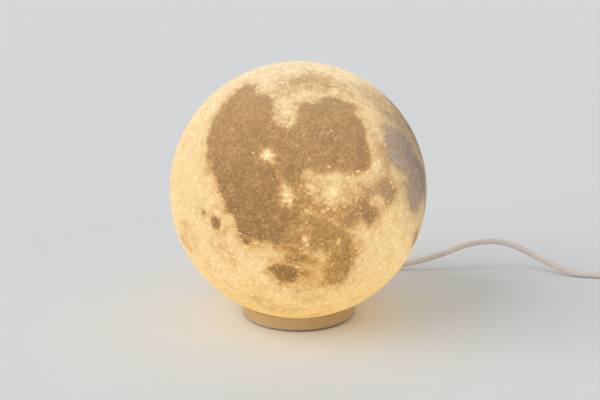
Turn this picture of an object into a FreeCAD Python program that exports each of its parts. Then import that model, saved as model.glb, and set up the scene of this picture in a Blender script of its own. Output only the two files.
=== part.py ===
import FreeCAD, Part
import math
import os
from FreeCAD import Vector

# Moon lamp: a translucent printed globe on a low round base, fed by a USB lead.
# Millimetres. +Z up, -Y towards the viewer, origin on the floor under the globe.

# ---- globe -------------------------------------------------------------------
GLOBE_RADIUS = 75.0
GLOBE_WALL = 1.8
GLOBE_OPENING_INSET = 5.6    # opening's radius under the base's
GLOBE_EDGE_HEIGHT = 6.336     # floor to the opening's outer edge

# The map on the globe is turned and leans a little on the lamp's axis.
MAP_TURN = 33.17
MAP_LEAN_FORWARD = -2.69
MAP_LEAN_RIGHT = 2.31
MOON_RADIUS_KM = 1737.4
CRATER_DEPTH = 0.35
# Largest walled craters: degrees north, degrees east, kilometres across.
CRATERS = [
    (9.6, -20.1, 96),        # Copernicus
    (-5.4, -68.4, 173),      # Grimaldi
    (-3.3, -74.6, 120),      # Riccioli
    (2.2, -67.6, 100),       # Hevelius
    (51.6, -9.4, 101),       # Plato
    (29.7, -4.0, 81),        # Archimedes
    (62.0, -42.0, 150),      # Herschel
    (63.7, -63.0, 130),      # Pythagoras
    (-17.6, -40.1, 105),     # Gassendi
    (-44.4, -55.1, 206),     # Schickard
    (-43.3, -11.2, 86),      # Tycho
    (-58.6, -14.1, 225),     # Clavius
    (-9.2, -1.8, 150),       # Ptolemaeus
    (-11.2, 4.1, 125),       # Albategnius
    (-11.4, 26.4, 99),       # Theophilus
    (-8.9, 61.1, 128),       # Langrenus
    (-25.1, 60.4, 180),      # Petavius
    (-20.4, 129.1, 180),     # Tsiolkovskiy
    (5.7, 140.9, 300),       # Mendeleev
    (-19.7, 149.4, 255),     # Gagarin
]

# ---- base --------------------------------------------------------------------
BASE_RADIUS = 34.0
BASE_LIFT = 1.0              # gap between the floor and the housing
RIM_GAP = 0.4                # open joint line between globe and housing
SKIRT_WALL = 1.8
COVER_SHOULDER = 1.6
COVER_THICKNESS = 1.5
DECK_DROP = 0.65             # deck below the globe's cut edge
DECK_THICKNESS = 1.2
SPIGOT_INSET = 2.9           # spigot's radius under the opening's
SPIGOT_WALL = 1.8
SPIGOT_TOP = 17.0
TOP_PLATE = 1.6
SKIRT_EDGE_ROUND = 0.7

# ---- seat between globe and base ---------------------------------------------
RING_INSET = 0.9             # from the base's edge to the ring
RING_WIDTH = 1.9
RING_DEPTH = 1.05            # groove floor below the globe at the ring's inside
RING_LIP = 0.6
RING_SIDE_GAP = 0.2
SEAT_GAP = 0.2
COLLAR_GAP = 0.35
COLLAR_WALL = 2.1
COLLAR_TOP = 14.0
COLLAR_FLANGE = 1.4
GLUE_GAP = 0.1

# ---- foot and fasteners ------------------------------------------------------
FOOT_INSET = 6.0
FOOT_WIDTH = 4.0
FOOT_RECESS = 0.6
SCREW_COUNT = 3
SCREW_INSET = 5.0            # screw circle inside the spigot's radius
SCREW_RADIUS = 1.2
SCREW_LENGTH = 8.5
SCREW_HEAD_RADIUS = 2.3
SCREW_HEAD_HEIGHT = 1.1
SCREW_DRIVE = 1.3
SCREW_FIT = 0.06
BOSS_WALL = 1.6

# ---- light unit --------------------------------------------------------------
LED_BOARD_INSET = 8.5        # board's radius under the spigot's
LED_BOARD_THICKNESS = 1.6
LED_COUNT = 6
LED_CIRCLE_SHARE = 0.5       # of the board's radius
LED_SIDE = 4.0
LED_HEIGHT = 1.6
LED_LENS_RADIUS = 1.5
BOARD_SCREW_INSET = 3.0
BOARD_SCREW_RADIUS = 1.0
BOARD_SCREW_LENGTH = 5.0
BOARD_SCREW_HEAD = 2.0
BOARD_SCREW_HEAD_HEIGHT = 1.3
DOME_GAP = 1.6               # between the board's edge and the dome
DOME_WALL = 1.4
DOME_STRAIGHT = 7.0
DOME_RIB = 1.9
DOME_FIT = 0.15
DOME_FOOT = 1.8

# ---- driver ------------------------------------------------------------------
DRIVER_LENGTH = 20.0
DRIVER_WIDTH = 15.0
DRIVER_THICKNESS = 1.2
DRIVER_STANDOFF = 2.6
DRIVER_POST_RADIUS = 1.2
DRIVER_POST_INSET = 1.4
DRIVER_PIN_RISE = 0.6
CAPACITOR_RADIUS = 2.5
CAPACITOR_HEIGHT = 7.0
CHOKE_RADIUS = 3.0
CHOKE_HEIGHT = 3.6
CHIP_SIDE = 5.0
CHIP_HEIGHT = 1.5
TERMINAL_LENGTH = 5.0
TERMINAL_WIDTH = 6.0
TERMINAL_HEIGHT = 4.4
WIRE_RADIUS = 0.6
WIRE_SPACING = 1.7
SUPPLY_TURNS = (0.18, 0.41, 0.63, 0.84)      # of the way from jacket to terminal
SUPPLY_DIP = 1.4
LED_WIRE_RISE = 2.2
LED_WIRE_REACH = 2.6

# ---- cord --------------------------------------------------------------------
CORD_RADIUS = 2.0
CORD_EXIT_HEIGHT = 3.3
CORD_FIT = 0.05
ARC_SHARE = 0.45             # of the shorter run, taken by each arc
GROMMET_WIDTH = 7.4
GROMMET_HEIGHT = 5.8
GROMMET_NECK_WIDTH = 5.4
GROMMET_NECK_HEIGHT = 4.8
GROMMET_FLANGE = 1.2
GROMMET_FIT = 0.15
BOOT_LENGTH = 10.8
BOOT_ROOT_RADIUS = 2.75
BOOT_TIP_RADIUS = 2.4
BOOT_GROOVES = 3

COIL_CENTRE = Vector(215.0, -78.0, 0)
COIL_OUTER_RADIUS = 31.0
COIL_PITCH = 4.5
COIL_TURNS = 4               # in each of the two layers
TIE_THICKNESS = 0.8
TIE_WIDTH = 8.0
TIE_GAP = 0.3
TIE_CORNER = 2.0

# ---- inline switch -----------------------------------------------------------
SWITCH_CENTRE = Vector(232.0, 0, 0)
SWITCH_LENGTH = 40.0
SWITCH_WIDTH = 20.0
SWITCH_HEIGHT = 12.4
SWITCH_WALL = 1.6
SWITCH_CORNER = 6.0
SWITCH_EDGE = 1.5
SWITCH_NIB = 4.0
SWITCH_NIB_ROOT = 4.2
SWITCH_NIB_TIP = 3.3
SWITCH_SCREW_SHORT = 0.5      # screw's end short of its bore's end
ROCKER_WIDTH = 9.0
ROCKER_REACH = 8.2           # from the pivot to the rocker's rounded ends
ROCKER_DEPTH = 3.0
ROCKER_CREST = 4.4           # ends above the pivot
ROCKER_DIP = 1.4             # middle below the ends
ROCKER_TILT = 8.0
ROCKER_GAP = 0.3
PIVOT_DROP = 2.4             # pivot below the switch's top
PIN_RADIUS = 0.9
LUG_THICKNESS = 1.6
CONTACT_THICKNESS = 0.5

# ---- plug --------------------------------------------------------------------
PLUG_START = Vector(292.0, -80.0, 0)
PLUG_LENGTH = 30.0
PLUG_WIDTH = 15.8
PLUG_HEIGHT = 8.0
PLUG_EDGE = 1.6
PLUG_NIB = 8.0
PLUG_NIB_ROOT = 3.3
PLUG_NIB_TIP = 2.7
USB_WIDTH = 12.0
USB_HEIGHT = 4.5
USB_LENGTH = 14.0
USB_WALL = 0.35
USB_TONGUE = 1.9
USB_CONTACT_COUNT = 4
USB_CONTACT_PITCH = 2.2
USB_CONTACT_WIDTH = 1.0
USB_CONTACT_THICKNESS = 0.2

X_AXIS = Vector(1, 0, 0)
Y_AXIS = Vector(0, 1, 0)
Z_AXIS = Vector(0, 0, 1)
ORIGIN = Vector(0, 0, 0)

opening_radius = BASE_RADIUS - GLOBE_OPENING_INSET
spigot_radius = opening_radius - SPIGOT_INSET
led_board_radius = spigot_radius - LED_BOARD_INSET
board_screw_circle = led_board_radius - BOARD_SCREW_INSET
foot_outer = BASE_RADIUS - FOOT_INSET
foot_inner = foot_outer - FOOT_WIDTH
globe_centre_height = GLOBE_EDGE_HEIGHT + math.sqrt(GLOBE_RADIUS ** 2 - opening_radius ** 2)
globe_centre = Vector(0, 0, globe_centre_height)
cover_top = BASE_LIFT + COVER_THICKNESS
top_plate_underside = SPIGOT_TOP - TOP_PLATE
spigot_bore = spigot_radius - SPIGOT_WALL
rebate_radius = BASE_RADIUS - SKIRT_WALL
ring_outer = BASE_RADIUS - RING_INSET
ring_inner = ring_outer - RING_WIDTH


def sphere_height(radius, ball=GLOBE_RADIUS):
    """Height of the lower surface of a ball about the globe's centre."""
    return globe_centre_height - math.sqrt(ball ** 2 - radius ** 2)


rim_height = sphere_height(BASE_RADIUS)
ring_floor = sphere_height(ring_inner) - RING_DEPTH
deck_top = GLOBE_EDGE_HEIGHT - DECK_DROP
deck_underside = deck_top - DECK_THICKNESS


# ---- helpers -----------------------------------------------------------------
def cylinder(radius, bottom, top, x=0, y=0):
    return Part.makeCylinder(radius, top - bottom, Vector(x, y, bottom))


def tube_ring(inner, outer, bottom, top):
    return cylinder(outer, bottom, top).cut(cylinder(inner, bottom - 1, top + 1))


def block(x_size, y_size, bottom, top, x=0, y=0):
    corner = Vector(x - x_size / 2, y - y_size / 2, bottom)
    return Part.makeBox(x_size, y_size, top - bottom, corner)


def turned(outline):
    """Solid of revolution about Z from (radius, height) corners."""
    corners = [Vector(radius, 0, height) for radius, height in outline]
    face = Part.Face(Part.makePolygon(corners + corners[:1]))
    return face.revolve(ORIGIN, Z_AXIS, 360)


def circular_edges(shape, radius, height):
    """Full circles about Z of one radius at one height."""
    found = []
    for edge in shape.Edges:
        curve = edge.Curve
        if not isinstance(curve, Part.Circle):
            continue
        same_radius = abs(curve.Radius - radius) < 0.01
        same_height = abs(curve.Center.z - height) < 0.01
        centred = math.hypot(curve.Center.x, curve.Center.y) < 0.01
        if same_radius and same_height and centred:
            found.append(edge)
    return found


def edges_along(shape, axis):
    """Straight edges that run along an axis."""
    found = []
    for edge in shape.Edges:
        if isinstance(edge.Curve, (Part.Line, Part.LineSegment)):
            if abs(abs(edge.tangentAt(edge.FirstParameter).dot(axis)) - 1) < 1e-6:
                found.append(edge)
    return found


def polar(radius, degrees, height=0):
    angle = math.radians(degrees)
    return Vector(radius * math.cos(angle), radius * math.sin(angle), height)


def unit(vector):
    return vector / vector.Length


def rounded_block(x_size, y_size, bottom, top, x, y, corner, edge):
    """Block with rounded upright corners and softened top and bottom edges."""
    shape = block(x_size, y_size, bottom, top, x, y)
    shape = shape.makeFillet(corner, edges_along(shape, Z_AXIS))
    rims = [e for e in shape.Edges if abs(e.BoundBox.ZMax - e.BoundBox.ZMin) < 1e-6]
    return shape.makeFillet(edge, rims)


# ---- cord paths --------------------------------------------------------------
def arc_middle(start, corner, end):
    """Middle point of the arc that is tangent to start-corner and corner-end."""
    half_chord = (end - start).Length / 2
    turn = (corner - start).getAngle(end - corner)
    middle = (start + end) / 2
    towards = corner - middle
    if towards.Length < 1e-9:
        return middle
    return middle + unit(towards) * (half_chord * math.tan(turn / 4))


def routed_wire(points):
    """Straight runs joined by tangent arcs, with each arc's radius."""
    edges = []
    radii = []
    start = points[0]
    for before, corner, after in zip(points, points[1:], points[2:]):
        run_in = corner - before
        run_out = after - corner
        turn = run_in.getAngle(run_out)
        setback = ARC_SHARE * min(run_in.Length, run_out.Length)
        enter = corner - unit(run_in) * setback
        leave = corner + unit(run_out) * setback
        edges.append(Part.LineSegment(start, enter).toShape())
        edges.append(Part.Arc(enter, arc_middle(enter, corner, leave), leave).toShape())
        radii.append(setback / math.tan(turn / 2))
        start = leave
    edges.append(Part.LineSegment(start, points[-1]).toShape())
    return Part.Wire(edges), radii


def swept_tube(wire, radius, start, direction):
    """Round tube along a wire."""
    section = Part.Wire(Part.makeCircle(radius, start, direction))
    shell = Part.BRepOffsetAPI.MakePipeShell(wire)
    shell.add(section)
    shell.build()
    shell.makeSolid()
    return shell.shape()


def routed_tube(name, points, radius):
    wire, radii = routed_wire(points)
    solid = swept_tube(wire, radius, points[0], points[1] - points[0])
    swept = math.pi * radius ** 2 * wire.Length
    print("%s: length %.1f, least bend radius %.1f, volume/section %.4f"
          % (name, wire.Length, min(radii), solid.Volume / swept))
    return solid, wire.Length


def biarc(start, start_way, end, end_way):
    """Two tangent arcs between two points with given directions."""
    span = end - start
    ways = start_way + end_way
    spread = 1 - start_way.dot(end_way)
    along = span.dot(ways)
    reach = (math.sqrt(along ** 2 + 2 * spread * span.dot(span)) - along) / (2 * spread)
    first_corner = start + start_way * reach
    second_corner = end - end_way * reach
    joint = (first_corner + second_corner) / 2
    first = Part.Arc(start, arc_middle(start, first_corner, joint), joint)
    second = Part.Arc(joint, arc_middle(joint, second_corner, end), end)
    return [first.toShape(), second.toShape()]


# ---- globe -------------------------------------------------------------------
def map_way(north, east):
    """Direction from the globe's centre to a place on the map."""
    north, east = math.radians(north), math.radians(east)
    place = Vector(math.cos(north) * math.sin(east), -math.cos(north) * math.cos(east),
                   math.sin(north))
    turned_place = FreeCAD.Rotation(Z_AXIS, MAP_TURN).multVec(place)
    leaning_place = FreeCAD.Rotation(X_AXIS, MAP_LEAN_FORWARD).multVec(turned_place)
    return FreeCAD.Rotation(Y_AXIS, MAP_LEAN_RIGHT).multVec(leaning_place)


def crater_cutter(north, east, kilometres):
    """Ball that leaves a shallow round dish of the crater's width in the shell."""
    half_width = GLOBE_RADIUS * kilometres / MOON_RADIUS_KM / 2
    rim_plane = math.sqrt(GLOBE_RADIUS ** 2 - half_width ** 2)
    dish = CRATER_DEPTH - (GLOBE_RADIUS - rim_plane)
    radius = (half_width ** 2 + dish ** 2) / (2 * dish)
    way = map_way(north, east)
    return Part.makeSphere(radius, globe_centre + way * (rim_plane - dish + radius))


def moon_globe():
    """Hollow printed ball with a round opening below and its largest craters."""
    shell = Part.makeSphere(GLOBE_RADIUS, globe_centre)
    shell = shell.cut(Part.makeSphere(GLOBE_RADIUS - GLOBE_WALL, globe_centre))
    mouth = cylinder(opening_radius, -GLOBE_WALL, globe_centre_height)
    shell = shell.cut(mouth)
    for crater in CRATERS:
        shell = shell.cut(crater_cutter(*crater))
    return shell


def globe_collar():
    """Sleeve glued in the globe's mouth, with a flange on the shell's inside."""
    inner = spigot_radius + COLLAR_GAP
    outer = inner + COLLAR_WALL
    sleeve = tube_ring(inner, outer, GLOBE_EDGE_HEIGHT, COLLAR_TOP)
    flange_outside = GLOBE_RADIUS - GLOBE_WALL - GLUE_GAP
    flange = Part.makeSphere(flange_outside, globe_centre)
    flange = flange.cut(Part.makeSphere(flange_outside - COLLAR_FLANGE, globe_centre))
    band_middle = (inner + outer) / 2
    band = tube_ring(band_middle, BASE_RADIUS, 0, globe_centre_height / 2)
    return sleeve.fuse(flange.common(band)).removeSplitter()


def glide_ring():
    """Soft ring in the housing's groove that the globe turns and rests on."""
    ring = tube_ring(ring_inner, ring_outer, ring_floor, rim_height)
    return ring.cut(Part.makeSphere(GLOBE_RADIUS + SEAT_GAP, globe_centre))


# ---- base --------------------------------------------------------------------
def cord_notch():
    """Slot and inner pocket in the housing's rear wall for the grommet."""
    slot_width = GROMMET_NECK_WIDTH + 2 * GROMMET_FIT
    slot_top = CORD_EXIT_HEIGHT + GROMMET_NECK_HEIGHT / 2 + GROMMET_FIT
    pocket_width = GROMMET_WIDTH + 2 * GROMMET_FIT
    slot_start = spigot_bore + COVER_SHOULDER
    slot = block(slot_width, BASE_RADIUS + 1 - slot_start, 0, slot_top,
                 y=(BASE_RADIUS + 1 + slot_start) / 2)
    pocket = block(pocket_width, rebate_radius - slot_start, 0, slot_top,
                   y=(rebate_radius + slot_start) / 2)
    keep_below_deck = cylinder(rebate_radius - COVER_SHOULDER, deck_underside, SPIGOT_TOP)
    return slot.fuse(pocket).cut(keep_below_deck)


def screw_places():
    """Cover screws: one at the front, the others beside the cord's exit."""
    step = 360 / SCREW_COUNT
    return [polar(spigot_radius - SCREW_INSET, -90 + step * index) for index in range(SCREW_COUNT)]


def board_screw_places():
    return [polar(board_screw_circle, 0), polar(board_screw_circle, 180)]


wire_hole = polar(board_screw_circle, 60)


def base_housing():
    groove_outer = ring_outer + RING_SIDE_GAP
    groove_inner = ring_inner - RING_SIDE_GAP
    lip_inner = groove_inner - RING_LIP
    block_inner = rebate_radius - COVER_SHOULDER
    outline = [
        (BASE_RADIUS, BASE_LIFT),
        (BASE_RADIUS, rim_height - RIM_GAP),
        (groove_outer, sphere_height(groove_outer) - RIM_GAP),
        (groove_outer, ring_floor),
        (groove_inner, ring_floor),
        (groove_inner, sphere_height(groove_inner) - RIM_GAP),
        (lip_inner, sphere_height(lip_inner) - RIM_GAP),
        (lip_inner, deck_top),
        (spigot_radius, deck_top),
        (spigot_radius, SPIGOT_TOP),
        (0, SPIGOT_TOP),
        (0, top_plate_underside),
        (spigot_bore, top_plate_underside),
        (spigot_bore, deck_underside),
        (block_inner, deck_underside),
        (block_inner, cover_top),
        (rebate_radius, cover_top),
        (rebate_radius, BASE_LIFT),
    ]
    shape = turned(outline)
    shape = shape.makeFillet(SKIRT_EDGE_ROUND, circular_edges(shape, BASE_RADIUS, BASE_LIFT))
    for place in screw_places():
        boss = cylinder(SCREW_RADIUS + BOSS_WALL, cover_top, SPIGOT_TOP - TOP_PLATE / 2,
                        place.x, place.y)
        shape = shape.fuse(boss)
    for place in board_screw_places():
        boss = cylinder(BOARD_SCREW_RADIUS + BOSS_WALL,
                        SPIGOT_TOP - BOARD_SCREW_LENGTH - TOP_PLATE,
                        SPIGOT_TOP - TOP_PLATE / 2, place.x, place.y)
        shape = shape.fuse(boss)
    rib_outer = led_board_radius + DOME_GAP - DOME_FIT
    rib = tube_ring(rib_outer - DOME_WALL, rib_outer, SPIGOT_TOP, SPIGOT_TOP + DOME_RIB)
    shape = shape.fuse(rib)
    for place in screw_places():
        bore = cylinder(SCREW_RADIUS + SCREW_FIT, 0, BASE_LIFT + SCREW_LENGTH + 1,
                        place.x, place.y)
        shape = shape.cut(bore)
    for place in board_screw_places():
        bore = cylinder(BOARD_SCREW_RADIUS + SCREW_FIT, SPIGOT_TOP - BOARD_SCREW_LENGTH,
                        SPIGOT_TOP + 1, place.x, place.y)
        shape = shape.cut(bore)
    hole = cylinder(WIRE_SPACING + WIRE_RADIUS, top_plate_underside - 1, SPIGOT_TOP + 1,
                    wire_hole.x, wire_hole.y)
    return shape.cut(hole).cut(cord_notch()).removeSplitter()


def driver_posts():
    x = DRIVER_LENGTH / 2 - DRIVER_POST_INSET
    y = DRIVER_WIDTH / 2 - DRIVER_POST_INSET
    return [Vector(sx * x, sy * y, 0) for sx in (-1, 1) for sy in (-1, 1)]


driver_bottom = cover_top + DRIVER_STANDOFF
driver_top = driver_bottom + DRIVER_THICKNESS


def base_cover():
    """Disc that closes the housing, with the foot's groove and the board's posts."""
    shape = cylinder(rebate_radius - GROMMET_FIT, BASE_LIFT, cover_top)
    groove = tube_ring(foot_inner, foot_outer, 0, BASE_LIFT + FOOT_RECESS)
    shape = shape.cut(groove)
    for place in driver_posts():
        post = cylinder(DRIVER_POST_RADIUS, cover_top, driver_bottom, place.x, place.y)
        pin = cylinder(DRIVER_POST_RADIUS / 2, driver_bottom, driver_top + DRIVER_PIN_RISE,
                       place.x, place.y)
        shape = shape.fuse(post).fuse(pin)
    for place in screw_places():
        bore = cylinder(SCREW_RADIUS + SCREW_FIT, 0, cover_top + 1, place.x, place.y)
        sink = Part.makeCone(SCREW_HEAD_RADIUS + SCREW_FIT, SCREW_RADIUS + SCREW_FIT,
                             SCREW_HEAD_HEIGHT, Vector(place.x, place.y, BASE_LIFT))
        shape = shape.cut(bore).cut(sink)
    relief = block(GROMMET_WIDTH + 2 * GROMMET_FIT, GROMMET_WIDTH, 0, cover_top + 1,
                   y=rebate_radius + GROMMET_WIDTH / 2 - COVER_SHOULDER - GROMMET_FIT)
    return shape.cut(relief)


def foot_ring():
    return tube_ring(foot_inner + GLUE_GAP, foot_outer - GLUE_GAP, 0,
                     BASE_LIFT + FOOT_RECESS)


def drive_slot(size, depth, bottom, x, y):
    """Cross recess of a screw head."""
    bar = block(size * 2, size / 2, bottom, bottom + depth, x, y)
    other = block(size / 2, size * 2, bottom, bottom + depth, x, y)
    return bar.fuse(other)


def cover_screw(place):
    head = Part.makeCone(SCREW_HEAD_RADIUS, SCREW_RADIUS, SCREW_HEAD_HEIGHT,
                         Vector(place.x, place.y, BASE_LIFT))
    shank = cylinder(SCREW_RADIUS, BASE_LIFT + SCREW_HEAD_HEIGHT, BASE_LIFT + SCREW_LENGTH,
                     place.x, place.y)
    recess = drive_slot(SCREW_DRIVE, SCREW_HEAD_HEIGHT / 2, BASE_LIFT, place.x, place.y)
    return head.fuse(shank).removeSplitter().cut(recess)


# ---- light unit --------------------------------------------------------------
led_board_top = SPIGOT_TOP + LED_BOARD_THICKNESS


def led_board():
    shape = cylinder(led_board_radius, SPIGOT_TOP, led_board_top)
    for place in board_screw_places():
        bore = cylinder(BOARD_SCREW_RADIUS + SCREW_FIT, 0, led_board_top + 1,
                        place.x, place.y)
        shape = shape.cut(bore)
    hole = cylinder(WIRE_SPACING + WIRE_RADIUS, 0, led_board_top + 1,
                    wire_hole.x, wire_hole.y)
    return shape.cut(hole)


def led(index):
    """Square package with a round window, turned to face outwards."""
    degrees = 30 + 360 / LED_COUNT * index
    body = block(LED_SIDE, LED_SIDE, led_board_top, led_board_top + LED_HEIGHT)
    window = cylinder(LED_LENS_RADIUS, led_board_top + LED_HEIGHT * 0.8,
                      led_board_top + LED_HEIGHT + 1)
    shape = body.cut(window)
    shape.rotate(ORIGIN, Z_AXIS, degrees)
    shape.translate(polar(led_board_radius * LED_CIRCLE_SHARE, degrees))
    return shape


def board_screw(place):
    head = cylinder(BOARD_SCREW_HEAD, led_board_top,
                    led_board_top + BOARD_SCREW_HEAD_HEIGHT, place.x, place.y)
    shank = cylinder(BOARD_SCREW_RADIUS, led_board_top - BOARD_SCREW_LENGTH, led_board_top,
                     place.x, place.y)
    recess_bottom = led_board_top + BOARD_SCREW_HEAD_HEIGHT / 2
    recess = drive_slot(BOARD_SCREW_RADIUS, BOARD_SCREW_HEAD_HEIGHT, recess_bottom,
                        place.x, place.y)
    return head.fuse(shank).cut(recess)


def dome_form(radius, bottom, straight_top):
    upright = cylinder(radius, bottom, straight_top)
    return upright.fuse(Part.makeSphere(radius, Vector(0, 0, straight_top)))


def diffuser_dome():
    """Frosted cap over the board, pushed onto the plate's rib."""
    inner = led_board_radius + DOME_GAP
    outer = inner + DOME_WALL
    straight_top = SPIGOT_TOP + DOME_STRAIGHT
    foot = cylinder(outer + DOME_FOOT, SPIGOT_TOP, SPIGOT_TOP + DOME_WALL)
    above = cylinder(BASE_RADIUS, SPIGOT_TOP, SPIGOT_TOP + DOME_STRAIGHT + 2 * outer)
    shape = dome_form(outer, SPIGOT_TOP, straight_top).fuse(foot)
    shape = shape.cut(dome_form(inner, SPIGOT_TOP - 1, straight_top))
    return shape.common(above).removeSplitter()


# ---- driver ------------------------------------------------------------------
CAPACITOR_PLACE = Vector(6.4, -2.6, 0)
CHOKE_PLACE = Vector(-1.0, -4.0, 0)
CHIP_PLACE = Vector(2.0, 3.2, 0)
TERMINAL_PLACE = Vector(-5.2, 2.6, 0)
LED_WIRE_PLACE = Vector(6.4, 5.0, 0)


def driver_board():
    shape = block(DRIVER_LENGTH, DRIVER_WIDTH, driver_bottom, driver_top)
    for place in driver_posts():
        hole = cylinder(DRIVER_POST_RADIUS / 2 + SCREW_FIT, 0, driver_top + 1,
                        place.x, place.y)
        shape = shape.cut(hole)
    return shape


def driver_capacitor():
    top = driver_top + CAPACITOR_HEIGHT
    can = cylinder(CAPACITOR_RADIUS, driver_top, top, CAPACITOR_PLACE.x, CAPACITOR_PLACE.y)
    return can.makeChamfer(CAPACITOR_RADIUS / 8, can.Edges[0])


def driver_choke():
    """Drum core: two flanges and a narrower winding between them."""
    flange = CHOKE_HEIGHT / 5
    x, y = CHOKE_PLACE.x, CHOKE_PLACE.y
    top = driver_top + CHOKE_HEIGHT
    lower = cylinder(CHOKE_RADIUS, driver_top, driver_top + flange, x, y)
    middle = cylinder(CHOKE_RADIUS * 0.8, driver_top, top, x, y)
    upper = cylinder(CHOKE_RADIUS, top - flange, top, x, y)
    return lower.fuse(middle).fuse(upper)


def driver_chip():
    return block(CHIP_SIDE, CHIP_SIDE, driver_top, driver_top + CHIP_HEIGHT,
                 CHIP_PLACE.x, CHIP_PLACE.y)


def wire_terminal():
    return block(TERMINAL_WIDTH, TERMINAL_LENGTH, driver_top, driver_top + TERMINAL_HEIGHT,
                 TERMINAL_PLACE.x, TERMINAL_PLACE.y)


jacket_end = rebate_radius - COVER_SHOULDER


def supply_wire(side):
    """From the jacket's end, under the deck and up into the terminal."""
    shift = side * WIRE_SPACING / 2
    middle_height = (deck_underside + cover_top) / 2
    entry_height = driver_top + TERMINAL_HEIGHT / 2
    terminal_face = TERMINAL_PLACE.y + TERMINAL_LENGTH / 2
    aside = TERMINAL_PLACE.x
    first, second, third, last = [jacket_end - share * (jacket_end - terminal_face)
                                  for share in SUPPLY_TURNS]
    points = [
        Vector(shift, jacket_end, middle_height),
        Vector(shift, first, middle_height),
        Vector(shift + aside / 4, second, middle_height + SUPPLY_DIP / 3),
        Vector(shift + aside * 2 / 3, third, entry_height - SUPPLY_DIP),
        Vector(shift + aside, last, entry_height),
        Vector(shift + aside, terminal_face, entry_height),
    ]
    return routed_tube("supply wire", points, WIRE_RADIUS)[0]


def led_wire(side):
    """From the driver up through the plate and onto the light board."""
    shift = unit(Z_AXIS.cross(wire_hole)) * (side * WIRE_SPACING / 2)
    inward = unit(wire_hole) * -1
    climb = top_plate_underside - driver_top
    start = LED_WIRE_PLACE + Vector(0, 0, driver_top) + shift
    hump = wire_hole + shift + Vector(0, 0, led_board_top + LED_WIRE_RISE)
    landing = wire_hole + shift + inward * LED_WIRE_REACH + Vector(0, 0, led_board_top)
    points = [
        start,
        start + Vector(0, 0, climb * 0.3),
        wire_hole + shift + Vector(0, 0, top_plate_underside - climb * 0.3),
        wire_hole + shift + Vector(0, 0, led_board_top + WIRE_RADIUS),
        hump + inward * (LED_WIRE_REACH / 4),
        hump + inward * (LED_WIRE_REACH * 3 / 4),
        landing + Vector(0, 0, LED_WIRE_RISE * 2 / 3),
        landing,
    ]
    return routed_tube("light wire", points, WIRE_RADIUS)[0]


# ---- cord exit ---------------------------------------------------------------
boot_start = BASE_RADIUS + GROMMET_FLANGE
boot_end = boot_start + BOOT_LENGTH


def cord_section(y_start, y_end, radius):
    return Part.makeCylinder(radius, y_end - y_start, Vector(0, y_start, CORD_EXIT_HEIGHT),
                             Y_AXIS)


def cord_grommet():
    """Flanged sleeve moulded on the cord, with a grooved tapering boot outside."""
    half = GROMMET_HEIGHT / 2
    bottom = CORD_EXIT_HEIGHT - half
    flange = block(GROMMET_WIDTH, GROMMET_FLANGE, bottom, bottom + GROMMET_HEIGHT,
                   y=BASE_RADIUS + GROMMET_FLANGE / 2)
    flange = flange.makeFillet(half * 0.8, edges_along(flange, Y_AXIS))
    neck = block(GROMMET_NECK_WIDTH, BASE_RADIUS - rebate_radius + COVER_SHOULDER,
                 CORD_EXIT_HEIGHT - GROMMET_NECK_HEIGHT / 2,
                 CORD_EXIT_HEIGHT + GROMMET_NECK_HEIGHT / 2,
                 y=(BASE_RADIUS + jacket_end) / 2)
    inner = block(GROMMET_WIDTH, COVER_SHOULDER - GROMMET_FIT,
                  CORD_EXIT_HEIGHT - GROMMET_NECK_HEIGHT / 2,
                  CORD_EXIT_HEIGHT + GROMMET_NECK_HEIGHT / 2,
                  y=jacket_end + (COVER_SHOULDER - GROMMET_FIT) / 2)
    boot = Part.makeCone(BOOT_ROOT_RADIUS, BOOT_TIP_RADIUS, BOOT_LENGTH,
                         Vector(0, boot_start, CORD_EXIT_HEIGHT), Y_AXIS)
    shape = flange.fuse(neck).fuse(inner).fuse(boot)
    groove_step = BOOT_LENGTH / (BOOT_GROOVES + 1)
    groove_depth = (BOOT_TIP_RADIUS - CORD_RADIUS) / 2
    for index in range(BOOT_GROOVES):
        y = boot_start + groove_step * (index + 0.75)
        band = cord_section(y, y + groove_step / 3, BOOT_ROOT_RADIUS + 1)
        core = cord_section(y, y + groove_step / 3, CORD_RADIUS + CORD_FIT + groove_depth)
        shape = shape.cut(band.cut(core))
    bore = cord_section(0, boot_end + 1, CORD_RADIUS + CORD_FIT)
    return shape.cut(bore)


def cord_entry():
    """Jacket inside the grommet, from the stripped end to the boot's tip."""
    return cord_section(jacket_end, boot_end, CORD_RADIUS)


# ---- cord --------------------------------------------------------------------
switch_middle = SWITCH_HEIGHT / 2
switch_reach = SWITCH_LENGTH / 2 + SWITCH_NIB
switch_inlet = SWITCH_CENTRE + Vector(0, switch_reach, switch_middle)
switch_outlet = SWITCH_CENTRE + Vector(0, -switch_reach, switch_middle)
coil_height = TIE_THICKNESS + TIE_GAP + CORD_RADIUS
coil_inner_radius = COIL_OUTER_RADIUS - COIL_PITCH * COIL_TURNS
coil_side = COIL_CENTRE + Vector(COIL_OUTER_RADIUS, 0, coil_height)
end_straight = Vector(0, -2 * CORD_RADIUS, 0)
coil_entry = coil_side - end_straight
coil_exit = coil_side + end_straight + Vector(0, 0, COIL_PITCH)
plug_height = PLUG_HEIGHT / 2
plug_entry = PLUG_START + Vector(0, 0, plug_height)

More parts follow.
